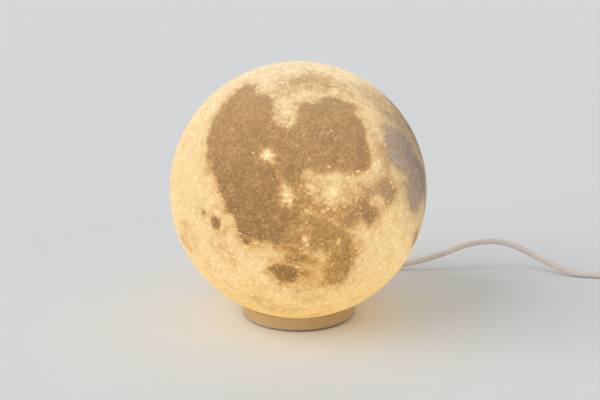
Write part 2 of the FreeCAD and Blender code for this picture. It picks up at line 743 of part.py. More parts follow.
LEAD_ROUTE = [
    Vector(0, boot_end, CORD_EXIT_HEIGHT),
    Vector(0, 55.5, CORD_EXIT_HEIGHT),
    Vector(4.0, 66.0, 2.4),
    Vector(13.5, 75.5, 2.0),
    Vector(28.0, 80.0, 2.0),
    Vector(50.0, 79.0, 2.0),
    Vector(74.0, 77.7, 3.7),
    Vector(99.0, 80.3, 10.1),
    Vector(123.0, 84.6, 18.7),
    Vector(146.0, 82.8, 19.8),
    Vector(167.0, 74.0, 9.9),
    Vector(186.0, 64.0, 2.2),
    Vector(203.0, 61.0, 2.0),
    Vector(218.0, 57.0, 2.2),
    Vector(227.5, 47.0, 4.0),
    Vector(232.0, 35.5, switch_middle),
    switch_inlet,
]
LINK_ROUTE = [
    switch_outlet,
    Vector(232.0, -32.0, switch_middle),
    Vector(235.5, -42.5, 4.6),
    Vector(241.0, -52.5, 3.1),
    Vector(246.0, -63.0, coil_height),
    coil_entry,
]
TAIL_ROUTE = [
    coil_exit,
    Vector(246.0, -90.0, coil_height + COIL_PITCH),
    Vector(249.1, -101.5, 6.4),
    Vector(257.5, -109.9, 5.0),
    Vector(269.0, -113.0, 4.1),
    Vector(280.5, -109.9, 4.0),
    Vector(288.9, -101.5, 4.0),
    Vector(292.0, -90.0, plug_height),
    plug_entry,
]


def coil_station(turn):
    """Point and direction on the coil, turns counted from the reversal."""
    radius = coil_inner_radius + COIL_PITCH * abs(turn)
    at_end = abs(turn) > COIL_TURNS - 0.01
    growth = 0 if at_end or abs(turn) < 0.01 else math.copysign(COIL_PITCH, turn)
    climbed = min(max(turn * 2 + 0.5, 0), 1)
    height = coil_height + COIL_PITCH * climbed ** 2 * (3 - 2 * climbed)
    climb_rate = COIL_PITCH * 12 * climbed * (1 - climbed)
    angle = -2 * math.pi * (turn + COIL_TURNS)
    outward = Vector(math.cos(angle), math.sin(angle), 0)
    forward = Vector(math.sin(angle), -math.cos(angle), 0)
    point = COIL_CENTRE + outward * radius + Vector(0, 0, height)
    way = outward * growth + forward * (2 * math.pi * radius) + Vector(0, 0, climb_rate)
    return point, unit(way)


def least_gap(wire, skip):
    """Least clear distance between parts of a tube that aren't neighbours."""
    step = CORD_RADIUS / 2
    points = wire.discretize(int(wire.Length / step))
    ahead = int(skip / step)
    nearest = 1e9
    for index, point in enumerate(points):
        for other in points[index + ahead:]:
            nearest = min(nearest, point.distanceToPoint(other))
    return nearest - 2 * CORD_RADIUS


def cord_coil():
    """Unused cord: spirals in, climbs one layer and spirals out again."""
    quarters = 4 * COIL_TURNS
    stations = [coil_station(index / 4) for index in range(-quarters, quarters + 1)]
    edges = [Part.LineSegment(coil_entry, stations[0][0]).toShape()]
    for (start, start_way), (end, end_way) in zip(stations, stations[1:]):
        edges.extend(biarc(start, start_way, end, end_way))
    edges.append(Part.LineSegment(stations[-1][0], coil_exit).toShape())
    wire = Part.Wire(edges)
    solid = swept_tube(wire, CORD_RADIUS, coil_entry, end_straight)
    swept = math.pi * CORD_RADIUS ** 2 * wire.Length
    print("coil: length %.1f, least gap to itself %.2f, volume/section %.4f"
          % (wire.Length, least_gap(wire, 8 * CORD_RADIUS), solid.Volume / swept))
    return solid, wire.Length


def cord_tie():
    """Strap round the piled turns on the side away from the cord's ends."""
    inner_turn = coil_inner_radius + COIL_PITCH / 2 - CORD_RADIUS
    outer_turn = COIL_OUTER_RADIUS - COIL_PITCH / 2 + CORD_RADIUS
    near = math.sqrt(inner_turn ** 2 - (TIE_WIDTH / 2) ** 2) - TIE_GAP
    far = outer_turn + TIE_GAP
    top = coil_height + COIL_PITCH + CORD_RADIUS + TIE_GAP
    x = COIL_CENTRE.x - (near + far) / 2
    inner = block(far - near, TIE_WIDTH + 2, TIE_THICKNESS, top, x, COIL_CENTRE.y)
    inner = inner.makeFillet(TIE_CORNER, edges_along(inner, Y_AXIS))
    outer = block(far - near + 2 * TIE_THICKNESS, TIE_WIDTH, 0, top + TIE_THICKNESS,
                  x, COIL_CENTRE.y)
    outer = outer.makeFillet(TIE_CORNER + TIE_THICKNESS, edges_along(outer, Y_AXIS))
    return outer.cut(inner)


# ---- inline switch -----------------------------------------------------------
pivot = SWITCH_CENTRE + Vector(0, 0, SWITCH_HEIGHT - PIVOT_DROP)


def switch_form():
    """Outer form of the switch: a rounded block with a nib at each end."""
    shape = rounded_block(SWITCH_WIDTH, SWITCH_LENGTH, 0, SWITCH_HEIGHT, SWITCH_CENTRE.x,
                          SWITCH_CENTRE.y, SWITCH_CORNER, SWITCH_EDGE)
    for side in (-1, 1):
        root = SWITCH_CENTRE + Vector(0, side * SWITCH_LENGTH / 2, switch_middle)
        nib = Part.makeCone(SWITCH_NIB_ROOT, SWITCH_NIB_TIP, SWITCH_NIB, root,
                            Vector(0, side, 0))
        shape = shape.fuse(nib)
    return shape


def switch_half_space(bottom, top):
    return block(SWITCH_WIDTH * 2, SWITCH_LENGTH * 2, bottom, top,
                 SWITCH_CENTRE.x, SWITCH_CENTRE.y)


def switch_cavity():
    return block(SWITCH_WIDTH - 2 * SWITCH_WALL, SWITCH_LENGTH - 2 * SWITCH_CORNER,
                 SWITCH_WALL, SWITCH_HEIGHT - SWITCH_WALL, SWITCH_CENTRE.x, SWITCH_CENTRE.y)


def switch_post_places():
    inset = SWITCH_LENGTH / 2 - SWITCH_CORNER / 2 - SWITCH_WALL
    return [SWITCH_CENTRE + Vector(0, side * inset, 0) for side in (-1, 1)]


def switch_top():
    shape = switch_form().common(switch_half_space(switch_middle, SWITCH_HEIGHT + 1))
    shape = shape.cut(switch_cavity())
    window = block(ROCKER_WIDTH + 2 * ROCKER_GAP, 2 * (ROCKER_REACH + ROCKER_GAP),
                   switch_middle, SWITCH_HEIGHT + 1, SWITCH_CENTRE.x, SWITCH_CENTRE.y)
    shape = shape.cut(window)
    lug_centre = ROCKER_WIDTH / 2 + ROCKER_GAP + LUG_THICKNESS / 2
    for side in (-1, 1):
        lug = block(LUG_THICKNESS, 4 * PIN_RADIUS, pivot.z - 2 * PIN_RADIUS,
                    SWITCH_HEIGHT - SWITCH_WALL / 2, pivot.x + side * lug_centre, pivot.y)
        shape = shape.fuse(lug)
    pin_bore = Part.makeCylinder(PIN_RADIUS + SCREW_FIT, 2 * (lug_centre + LUG_THICKNESS),
                                 pivot - X_AXIS * (lug_centre + LUG_THICKNESS), X_AXIS)
    keep_walls = block(2 * lug_centre + LUG_THICKNESS, SWITCH_LENGTH, 0, SWITCH_HEIGHT,
                       pivot.x, pivot.y)
    shape = shape.cut(pin_bore.common(keep_walls))
    for place in switch_post_places():
        bore = cylinder(BOARD_SCREW_RADIUS + SCREW_FIT, 0, SWITCH_HEIGHT - 2 * SWITCH_WALL,
                        place.x, place.y)
        shape = shape.cut(bore)
    return shape


def switch_bottom():
    shape = switch_form().common(switch_half_space(0, switch_middle))
    shape = shape.cut(switch_cavity())
    for place in switch_post_places():
        bore = cylinder(BOARD_SCREW_RADIUS + SCREW_FIT, 0, SWITCH_HEIGHT, place.x, place.y)
        head = cylinder(BOARD_SCREW_HEAD + SCREW_FIT, 0, BOARD_SCREW_HEAD_HEIGHT + SCREW_DRIVE,
                        place.x, place.y)
        shape = shape.cut(bore).cut(head)
    return shape


def switch_screw(place):
    head_bottom = SCREW_DRIVE
    head_top = head_bottom + BOARD_SCREW_HEAD_HEIGHT
    head = cylinder(BOARD_SCREW_HEAD, head_bottom, head_top, place.x, place.y)
    shank_end = SWITCH_HEIGHT - 2 * SWITCH_WALL - SWITCH_SCREW_SHORT
    shank = cylinder(BOARD_SCREW_RADIUS, head_top, shank_end, place.x, place.y)
    recess = drive_slot(BOARD_SCREW_RADIUS, BOARD_SCREW_HEAD_HEIGHT / 2, head_bottom,
                        place.x, place.y)
    return head.fuse(shank).cut(recess)


def switch_contact(side):
    """Bent strip on the switch's floor under one end of the rocker."""
    reach = ROCKER_REACH * 0.7
    x, y = SWITCH_CENTRE.x, SWITCH_CENTRE.y + side * reach
    foot = block(ROCKER_WIDTH * 0.6, reach, SWITCH_WALL, SWITCH_WALL + CONTACT_THICKNESS,
                 x, y)
    riser = block(ROCKER_WIDTH * 0.6, CONTACT_THICKNESS, SWITCH_WALL, switch_middle - 1,
                  x, y + side * reach / 2 - side * CONTACT_THICKNESS / 2)
    return foot.fuse(riser)


def switch_rocker():
    """Seesaw key with a dished top, tilted to its ON end."""
    width = ROCKER_WIDTH
    x = pivot.x - width / 2
    corners = [
        Vector(x, pivot.y - 2 * ROCKER_REACH, pivot.z - ROCKER_DEPTH),
        Vector(x, pivot.y + 2 * ROCKER_REACH, pivot.z - ROCKER_DEPTH),
        Vector(x, pivot.y + ROCKER_REACH, pivot.z + ROCKER_CREST),
        Vector(x, pivot.y, pivot.z + ROCKER_CREST - ROCKER_DIP),
        Vector(x, pivot.y - ROCKER_REACH, pivot.z + ROCKER_CREST),
    ]
    face = Part.Face(Part.makePolygon(corners + corners[:1]))
    shape = face.extrude(X_AXIS * width)
    drum = Part.makeCylinder(ROCKER_REACH, width, Vector(x, pivot.y, pivot.z), X_AXIS)
    shape = shape.common(drum)
    bore = Part.makeCylinder(PIN_RADIUS + 2 * SCREW_FIT, width, Vector(x, pivot.y, pivot.z),
                             X_AXIS)
    shape = shape.cut(bore)
    shape.rotate(pivot, X_AXIS, ROCKER_TILT)
    return shape


def rocker_pin():
    half = ROCKER_WIDTH / 2 + ROCKER_GAP + LUG_THICKNESS
    return Part.makeCylinder(PIN_RADIUS, 2 * half, pivot - X_AXIS * half, X_AXIS)


# ---- plug --------------------------------------------------------------------
plug_body_start = PLUG_START.y + PLUG_NIB
plug_body_end = plug_body_start + PLUG_LENGTH
usb_end = plug_body_end + USB_LENGTH


def plug_block(width, height, start, end):
    return block(width, end - start, plug_height - height / 2, plug_height + height / 2,
                 PLUG_START.x, (start + end) / 2)


def plug_overmould():
    body = plug_block(PLUG_WIDTH, PLUG_HEIGHT, plug_body_start, plug_body_end)
    body = body.makeFillet(PLUG_EDGE, body.Edges)
    nib = Part.makeCone(PLUG_NIB_TIP, PLUG_NIB_ROOT, PLUG_NIB + PLUG_EDGE, plug_entry, Y_AXIS)
    return body.fuse(nib)


def plug_shell():
    """Rectangular metal sleeve, open at the front."""
    outer = plug_block(USB_WIDTH, USB_HEIGHT, plug_body_end, usb_end)
    outer = outer.makeFillet(2 * USB_WALL, edges_along(outer, Y_AXIS))
    inner = plug_block(USB_WIDTH - 2 * USB_WALL, USB_HEIGHT - 2 * USB_WALL,
                       plug_body_end - 1, usb_end + 1)
    return outer.cut(inner)


def plug_tongue():
    """Insulator on the sleeve's upper inside face."""
    top = plug_height + USB_HEIGHT / 2 - USB_WALL
    return block(USB_WIDTH - 2 * USB_WALL, USB_LENGTH - 2 * USB_WALL, top - USB_TONGUE, top,
                 PLUG_START.x, plug_body_end + USB_LENGTH / 2 - USB_WALL)


def plug_contacts():
    """Spring strips under the insulator."""
    top = plug_height + USB_HEIGHT / 2 - USB_WALL - USB_TONGUE
    first = -(USB_CONTACT_COUNT - 1) / 2
    strips = []
    for index in range(USB_CONTACT_COUNT):
        x = PLUG_START.x + (first + index) * USB_CONTACT_PITCH
        strips.append(block(USB_CONTACT_WIDTH, USB_LENGTH * 0.6, top - USB_CONTACT_THICKNESS,
                            top, x, plug_body_end + USB_LENGTH / 2))
    return Part.makeCompound(strips)


# ---- assembly ----------------------------------------------------------------
def build_nodes():
    lead, lead_length = routed_tube("lead", LEAD_ROUTE, CORD_RADIUS)
    link, link_length = routed_tube("link", LINK_ROUTE, CORD_RADIUS)
    coil, coil_length = cord_coil()
    tail, tail_length = routed_tube("tail", TAIL_ROUTE, CORD_RADIUS)
    free = lead_length + link_length + coil_length + tail_length
    print("cord outside the base: %.1f with the switch" % (free + 2 * switch_reach))
    nodes = {
        "moon_globe": moon_globe(),
        "globe_collar": globe_collar(),
        "glide_ring": glide_ring(),
        "base_housing": base_housing(),
        "base_cover": base_cover(),
        "foot_ring": foot_ring(),
        "led_board": led_board(),
        "diffuser_dome": diffuser_dome(),
        "driver_board": driver_board(),
        "driver_capacitor": driver_capacitor(),
        "driver_choke": driver_choke(),
        "driver_chip": driver_chip(),
        "wire_terminal": wire_terminal(),
        "cord_grommet": cord_grommet(),
        "cord_entry": cord_entry(),
        "cord_lead": lead,
        "cord_link": link,
        "cord_coil": coil,
        "cord_tail": tail,
        "cord_tie": cord_tie(),
        "switch_top": switch_top(),
        "switch_bottom": switch_bottom(),
        "switch_rocker": switch_rocker(),
        "rocker_pin": rocker_pin(),
        "plug_overmould": plug_overmould(),
        "plug_shell": plug_shell(),
        "plug_tongue": plug_tongue(),
        "plug_contacts": plug_contacts(),
    }
    for index, place in enumerate(screw_places(), 1):
        nodes["cover_screw_%d" % index] = cover_screw(place)
    for index, place in enumerate(board_screw_places(), 1):
        nodes["board_screw_%d" % index] = board_screw(place)
    for index, place in enumerate(switch_post_places(), 1):
        nodes["switch_screw_%d" % index] = switch_screw(place)
    for index in range(LED_COUNT):
        nodes["led_%d" % (index + 1)] = led(index)
    for index, side in enumerate((-1, 1), 1):
        nodes["supply_wire_%d" % index] = supply_wire(side)
        nodes["led_wire_%d" % index] = led_wire(side)
        nodes["switch_contact_%d" % index] = switch_contact(side)
    return nodes


os.makedirs("parts", exist_ok=True)
for name, shape in build_nodes().items():
    if not shape.isValid():
        raise ValueError("invalid solid: " + name)
    shape.exportStep("parts/%s.step" % name)
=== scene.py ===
import math
import bpy
import numpy as np
from mathutils import Matrix, Vector


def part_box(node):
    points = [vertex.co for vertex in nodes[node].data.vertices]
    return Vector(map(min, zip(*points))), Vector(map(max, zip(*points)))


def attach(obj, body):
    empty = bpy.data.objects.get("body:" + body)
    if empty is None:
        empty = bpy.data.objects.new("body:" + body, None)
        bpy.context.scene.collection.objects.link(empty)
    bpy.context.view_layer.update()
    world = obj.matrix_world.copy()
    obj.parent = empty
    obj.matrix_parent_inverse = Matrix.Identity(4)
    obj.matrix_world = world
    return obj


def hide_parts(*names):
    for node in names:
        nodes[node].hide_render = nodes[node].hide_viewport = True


# Moon lamp: a glowing printed globe on a low round base, fed by a thin off-white lead.
# Metres. +Z up, -Y towards the viewer, origin on the floor under the globe.

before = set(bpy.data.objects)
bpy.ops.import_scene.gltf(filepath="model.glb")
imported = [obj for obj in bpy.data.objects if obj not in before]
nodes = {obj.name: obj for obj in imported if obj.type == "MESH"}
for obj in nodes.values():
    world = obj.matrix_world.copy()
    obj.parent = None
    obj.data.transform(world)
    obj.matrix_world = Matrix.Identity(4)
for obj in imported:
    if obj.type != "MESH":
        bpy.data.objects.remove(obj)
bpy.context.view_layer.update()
MM = 0.001

# ---- the globe's form ----
GLOBE_RADIUS = 0.0750
GLOBE_WALL = 0.0018
MOUTH_RADIUS = 0.0284
SEAT_RADIUS = 0.0360  # the surface stays smooth inside this radius
SEAT_BLEND = 0.004  # width over which the relief comes up outside it
GLOBE_COLUMNS = 440
OUTER_ROWS = 190
INNER_ROWS = 22
SHARP_EDGE = 50  # degrees, keeps the mouth's edge crisp

# Painted shade: the lamp inside leaves the upper right side dimmer and greyer.
DIM_SIDE = (0.93, -0.10, 0.30)
DIM_FROM = 0.66
DIM_FULL = 0.97
DIM_CURVE = 1.5

# The map on the globe is turned and leans a little on the lamp's axis.
MAP_TURN = 33.17
MAP_LEAN_FORWARD = -2.69
MAP_LEAN_RIGHT = 2.31

# ---- seas ----
CRISP = -0.5  # softness of a small floor with a clean edge
SEA_REACH = 8.0  # degrees from a shore where its depth stops counting
SEA_PULL = 0.9  # degrees over which one sea gives way to the next
FLOOR_GREY = 0.2
# Name, darkness, greyness, softness of the shore, corners in degrees north and east.
SEAS = [
    ("procellarum", 1.0, 0.05, 0.0, [
        55.5, -83, 56.5, -77, 56, -72, 54, -68, 52, -65, 51, -58, 49, -52, 45, -48.5, 42, -47.5,
        38.5, -47, 36.5, -46, 36, -43, 35, -39.5, 30, -36, 22, -33, 17, -31, 14, -31, 11, -31.5,
        6, -31, 0, -31, -5, -33, -10, -36, -12.6, -39.6, -12.8, -42, -12, -44.4, -11.3, -47.3,
        -10.7, -50.3, -12, -52.5, -13.8, -53.3, -13.5, -55, -11.3, -56.3, -9.6, -57, -7.5, -57.8,
        -5.7, -58.3, -4.5, -60, -3, -60.3, -1.7, -62, -1, -64.7, 0, -66, 1, -64.7, 2.5, -64.4,
        4.5, -65, 6.2, -66, 7.8, -67.5, 10, -69, 12, -72, 14.5, -73, 16.5, -75.5, 18.2, -77.7,
        20.5, -79, 23.6, -79.7, 26.5, -81, 29.3, -82, 31.7, -83, 33.6, -84.5, 37, -84, 39, -83,
        44, -85, 47, -84, 49, -82, 52, -82.5]),
    ("imbrium", 1.0, 0.1, 0.0, [
        33, -42, 35, -39.5, 38, -37.5, 41, -37, 44, -36.5, 47, -36, 48.3, -33, 48, -29.5,
        46.8, -26, 48.3, -24, 51, -21, 52.5, -17, 52, -12, 51, -10, 49, -5, 46.5, -1, 44, -2,
        41.7, -2.5, 39, -1, 36.7, 0.5, 34, 1, 32, 0.5, 29.5, -1.3, 27.7, -1.7, 25.4, -1.5,
        22.7, -0.7, 19.7, -1, 18, -3, 17, -6, 16.5, -10, 16.3, -14, 16, -19, 15.8, -22.5,
        16.3, -27.5, 17, -33, 26, -42]),
    ("serenitatis", 1.0, 0.88, 0.0, [
        36.8, 12, 37, 18, 35.5, 22, 33.4, 25.6, 31.8, 28.4, 27, 31, 24, 30.3, 21, 32.5, 17.5, 37,
        14.5, 40, 14.5, 17.3, 16, 15, 17.8, 12, 19.5, 9, 21, 7.5, 23, 7.5, 25.3, 7, 27.7, 8,
        29.6, 7.5, 31.8, 9, 34.7, 12]),
    ("tranquillitatis", 1.0, 0.85, 0.05, [
        16, 17, 14.5, 17.3, 13, 19.5, 11.5, 15.6, 8.7, 17.2, 5.2, 16.5, 2.2, 18.6, -1, 20.3,
        -3, 25, -2.3, 29, 0, 30, 2, 33, 4, 38, 14.5, 42, 18, 36]),
    ("humorum", 0.88, 0.0, 0.15, [
        -20.3, -43.5, -23, -45, -25.7, -44.6, -28.3, -43, -30, -40.5, -30.8, -37, -29.4, -33.8,
        -26.3, -32, -23, -31.8, -20.8, -33, -20.1, -35, -19.5, -39]),
    ("humorum_link", 0.76, 0.0, 0.6, [
        -10, -40, -15, -40, -20.5, -38.5, -21, -33, -20, -28, -16.5, -27.5, -13.5, -30,
        -11, -32.5]),
    ("nubium", 0.73, 0.05, 0.5, [
        -16, -9, -20, -8.5, -25, -7, -29, -8.5, -32, -12.5, -32, -18, -31, -21, -28, -23,
        -24.5, -23, -21, -20.5, -18, -15]),
    ("nubium_west", 0.66, 0.0, 0.9, [
        -14, -31, -15, -23, -19, -20, -25, -25, -29, -25, -31, -29, -25, -31, -20, -32]),
    ("cognitum", 0.8, 0.05, 0.45, [
        2, -34, 2, -28, -1, -20, -3, -15, -6.5, -12.5, -9, -10.5, -14, -8.5, -16.5, -10, -17, -16,
        -15, -22, -15.5, -27, -13.5, -32, -13, -40, -8, -42, 0, -38]),
    ("bridge", 0.8, 0.0, 0.7, [
        -12.5, -25, -13, -12, -15, -7, -20, -8.5, -21, -12, -21, -20, -17.5, -23]),
    ("insularum", 0.82, 0.0, 0.8, [
        17, -33, 15, -28, 13.5, -24, 13, -17, 12, -13, 4, -13, 0.5, -14, -3, -14, -1, -22, 1, -30,
        4, -35, 12, -35]),
    ("aestuum", 0.88, 0.1, 0.55, [
        2.5, -17.5, 5.5, -16.5, 7.5, -14.5, 8, -10.5, 9, -7, 7, -4, 3.5, -3, 2, -2, 1, 1,
        -1.5, 0.5, -3.5, -1.5, -3, -4, -2, -6.5, -2.5, -8.5, -4.5, -11, -5, -14, -3, -17]),
    ("aestuum_core", 0.98, 0.1, 0.45, [
        5.5, -11.5, 6.5, -6.5, 5, -4, 1.5, -4, -1, -5, 0.5, -9.5, 3, -12]),
    ("vaporum", 0.9, 0.3, 0.55, [
        12, -8, 12.5, -4, 14.5, -1, 16, 3, 15, 7, 11.5, 8, 9, 11, 6, 9.5, 4, 6, 5.5, 3, 7, -1,
        7, -4.5, 8.5, -8]),
    ("putredinis", 0.66, 0.4, 0.8, [31, 3.5, 26, 8, 19, 8, 16, 5, 19, 3, 25, 4]),
    ("east_limb", 0.6, 0.4, 1.0, [52, 44, 40, 56, 26, 50, 16, 48, 20, 40, 34, 38, 44, 38]),
    ("frigoris", 0.5, 0.15, 0.45, [
        61, -54, 63, -47, 64, -41, 65, -37, 68, -24, 68, -13.5, 66, -8.5, 62, -6, 58, -7.7,
        55, -13.5, 54.5, -20, 57, -22.4, 57.6, -29, 57.5, -39, 57.5, -48]),
    ("roris", 0.35, 0.1, 0.9, [52, -60, 55, -52, 56, -45, 53, -40, 51, -42, 50, -50]),
    ("frigoris_east", 0.36, 0.55, 0.7, [60, -5, 58, 15, 52, 36, 47, 30, 50, 10, 54, -4]),
    ("somniorum", 0.45, 0.7, 0.7, [46, 18, 44, 34, 35, 40, 31, 31, 37, 20]),
    ("plato", 0.55, 0.2, CRISP, [53.9, -8, 53.2, -6, 52.1, -6.6, 51.8, -9, 52.7, -10]),
    ("grimaldi", 0.95, 0.1, CRISP, [
        -2.8, -68.6, -3.6, -65.8, -6, -65, -8.7, -67, -8.9, -70, -6.4, -71.4, -3.8, -71]),
    ("orientale", 0.35, 0.3, 0.5, [-14, -93, -16, -90, -21, -91, -23, -96, -18, -99]),
    ("fecunditatis", 1.0, 0.6, 0.15, [
        2, 41, 4, 50, -1, 57, -8, 58, -15, 53, -19, 46, -12, 45, -6, 42]),
    ("nectaris", 1.0, 0.5, 0.15, [-11, 34, -13, 38, -18, 38, -20, 34, -17, 31, -12, 31]),
    ("crisium", 1.0, 0.6, 0.0, [23, 56, 22, 64, 17, 69, 12, 66, 11, 57, 15, 52, 20, 51]),
    ("humboldtianum", 0.8, 0.4, 0.2, [59, 78, 59, 84, 56, 86, 54, 82, 55, 77]),
    ("marginis", 0.6, 0.4, 0.4, [17, 84, 15, 92, 9, 92, 9, 83, 13, 80]),
    ("smythii", 0.7, 0.4, 0.3, [3, 84, 1, 91, -4, 90, -4, 83, 0, 81]),
    ("australe", 0.45, 0.3, 0.8, [-38, 88, -36, 100, -46, 106, -54, 96, -50, 84]),
    ("moscoviense", 0.9, 0.2, 0.0, [30, 144, 30, 150, 25, 152, 23, 147, 26, 142]),
    ("ingenii", 0.7, 0.2, 0.2, [-31, 162, -31, 168, -36, 168, -37, 162, -34, 159]),
    ("aitken", 0.4, 0.1, 0.8, [
        -35, -178, -32, -168, -40, -158, -54, -158, -62, -172, -58, 172, -46, 172, -38, 176]),
]

# Small dark floors: degrees north, degrees east, radius, darkness.
DARK_FLOORS = [
    (-2.6, -74.6, 1.5, 1.0), (-16.8, -67.2, 0.9, 0.75), (-13.5, -70.0, 0.7, 0.55),
    (-15.7, -68.6, 0.6, 0.45), (-21.2, -63.3, 0.7, 0.45), (-12.9, -88.2, 0.8, 0.6),
    (-16.0, -87.0, 0.8, 0.65), (-18.3, -86.0, 0.7, 0.6), (-20.5, -85.5, 0.6, 0.55),
    (-45.0, -53.0, 1.1, 0.35), (-42.5, -56.0, 0.9, 0.3), (-35.0, -31.0, 1.8, 0.3),
    (-50.0, -38.0, 1.2, 0.25), (-52.0, -47.0, 0.9, 0.25), (-39.0, -24.0, 1.5, 0.2),
    (-20.0, 129.0, 1.8, 0.9), (-42.0, -153.0, 1.6, 0.4), (5.0, 141.0, 2.2, 0.5),
]

# ---- young bright craters ----
# Degrees north, degrees east, core radius, core light, halo radius, halo light and, where
# a crater has rays, how far they reach.
BRIGHT_CRATERS = [
    (23.4, -47.4, 0.75, 1.6, 2.3, 0.64, 9.0), (8.1, -38.3, 0.55, 1.1, 2.3, 0.52, 12.0),
    (6.0, -37.0, 1.2, 0.1, 2.8, 0.34), (3.4, -37.0, 0.45, 0.6, 1.8, 0.28),
    (11.6, -37.6, 0.8, 0.1, 2.0, 0.3), (9.6, -20.2, 0.8, 0.95, 5.5, 1.02, 18.0),
    (11.8, -28.4, 1.4, 0.2, 2.6, 0.4), (8.0, -26.0, 0.7, 0.2, 2.2, 0.3),
    (12.6, -15.5, 0.9, 0.15, 2.0, 0.25), (19.7, 0.6, 0.9, 0.45, 2.2, 0.45, 9.0),
    (-6.2, -11.8, 0.9, 0.3, 2.2, 0.35), (-5.8, -7.0, 0.55, 0.6, 1.6, 0.3),
    (-24.7, -63.8, 0.8, 0.35, 3.6, 0.45, 10.0), (-43.3, -11.2, 1.1, 0.3, 4.0, 0.25, 40.0),
    (-8.7, -30.4, 0.65, 0.8, 1.8, 0.5), (-11.3, -29.4, 0.5, 0.5, 1.4, 0.4),
    (-10.0, -16.6, 0.6, 0.7, 1.5, 0.4), (-15.8, -25.0, 0.45, 0.65, 1.3, 0.4),
    (-22.3, -24.0, 0.5, 0.65, 1.4, 0.4), (-4.4, -31.6, 0.45, 0.6, 1.0, 0.3),
    (-4.2, -29.2, 0.45, 0.5, 1.0, 0.3), (3.6, -19.4, 0.45, 0.6, 1.0, 0.3),
    (2.3, -23.6, 0.45, 0.6, 1.0, 0.3), (12.7, 8.3, 0.45, 0.8, 1.1, 0.35),
    (14.8, 15.8, 0.5, 0.7, 1.2, 0.35), (5.0, -3.2, 0.45, 0.5, 1.0, 0.3),
    (22.7, -29.6, 0.5, 0.8, 0.9, 0.3), (19.9, -21.4, 0.5, 0.8, 0.9, 0.3),
    (27.5, -34.8, 0.4, 0.6, 0.8, 0.25), (27.3, -26.0, 0.4, 0.5, 0.8, 0.25),
    (32.3, -32.2, 0.4, 0.5, 0.8, 0.25), (25.2, -21.5, 0.4, 0.5, 0.8, 0.25),
    (43.7, -72.5, 0.45, 0.65, 1.0, 0.3), (32.5, -68.0, 0.4, 0.55, 0.9, 0.25),
    (28.3, -71.0, 0.4, 0.5, 0.9, 0.25), (17.0, -73.5, 0.5, 0.5, 1.6, 0.35),
    (13.0, -72.5, 0.5, 0.45, 1.6, 0.35), (38.5, -39.0, 0.6, 0.6, 1.6, 0.4),
    (46.3, -40.0, 0.6, 0.5, 2.0, 0.4), (16.0, -2.5, 1.2, 0.3, 3.4, 0.4),
    (21.5, 2.5, 1.2, 0.3, 3.2, 0.3), (-11.5, -60.5, 1.0, 0.25, 3.0, 0.3),
    (1.5, -68.5, 1.0, 0.25, 2.6, 0.3), (57.0, 62.0, 0.9, 0.5, 3.6, 0.4, 20.0),
    (-8.9, 61.0, 1.0, 0.5, 3.6, 0.4, 12.0), (5.6, 102.0, 1.0, 0.6, 4.4, 0.45, 22.0),
    (36.0, -103.0, 0.9, 0.5, 3.2, 0.4, 14.0), (-55.0, 173.0, 0.8, 0.45, 3.6, 0.4, 11.0),
]
HALO_FALL = 1.3
RAY_COUNT = 26
RAY_LIGHT = 0.42
RAY_CLEARING = 3.0  # degrees from a crater over which its rays come up
RAY_LENGTHS = (0.35, 1.0)  # share of the reach
RAY_WIDTHS = (0.25, 0.8)  # degrees
RAY_STRENGTHS = (0.3, 1.0)
RAY_SPREAD = 1.2  # radians from its line within which a ray is drawn
# Single pale streaks: start, end, half-width in degrees, light.
RAY_STREAKS = [
    ((23.4, -47.4), (26.0, -47.6), 0.9, 0.36), ((23.4, -47.4), (22.0, -49.6), 0.9, 0.4),
    ((23.4, -47.4), (20.8, -44.6), 1.0, 0.42), ((19.8, -43.6), (11.0, -38.6), 1.1, 0.34),
    ((15.6, -29.0), (15.4, -20.0), 0.9, 0.42), ((15.4, -20.0), (15.3, -11.0), 0.8, 0.4),
    ((15.3, -11.0), (18.6, -1.5), 1.0, 0.34), ((18.6, -1.5), (27.5, 1.2), 1.0, 0.4),
    ((-9.8, -16.4), (-15.5, -14.8), 0.8, 0.42), ((-8.7, -30.4), (-12.6, -29.0), 0.9, 0.34),
    ((-13.4, -41.0), (-17.0, -33.0), 0.9, 0.25), ((-24.0, -16.5), (-38.0, -12.5), 0.5, 0.26),
    ((-26.0, -19.5), (-38.0, -14.5), 0.4, 0.2),
]

# ---- relief ----
RELIEF_SEED = 7
RELIEF_DEPTH = 0.00018
RELIEF_LOW = -1.6  # in relief depths
RELIEF_HIGH = 1.3
SEA_DROP = 0.00012
PIT_COUNT = 2400
PIT_LEAST = 0.8  # degrees
PIT_MOST = 4.6
PIT_RARITY = 3.2  # makes large pits rarer than small ones
PIT_REACH = 1.7  # in pit radii
PIT_FLOOR = -0.75
PIT_RING = 0.65
PIT_RING_WIDTH = 0.22
PIT_FULL = 2.5  # degrees from which a pit has its whole depth
PIT_STRENGTHS = (0.5, 1.0)
SEA_PITS_LEFT_OUT = 0.8

MOON_RADIUS_KM = 1737.4
CRATER_DEPTH = 0.00035
CRATER_RIM = 0.00008
CRATER_RIM_WIDTH = 0.14  # in crater radii
# Largest walled craters: degrees north, degrees east, kilometres across.
CRATERS = [
    (9.6, -20.1, 96), (-5.4, -68.4, 173), (-3.3, -74.6, 120), (2.2, -67.6, 100),
    (51.6, -9.4, 101), (29.7, -4.0, 81), (62.0, -42.0, 150), (63.7, -63.0, 130),
    (-17.6, -40.1, 105), (-44.4, -55.1, 206), (-43.3, -11.2, 86), (-58.6, -14.1, 225),
    (-9.2, -1.8, 150), (-11.2, 4.1, 125), (-11.4, 26.4, 99), (-8.9, 61.1, 128),
    (-25.1, 60.4, 180), (-20.4, 129.1, 180), (5.7, 140.9, 300), (-19.7, 149.4, 255),
]

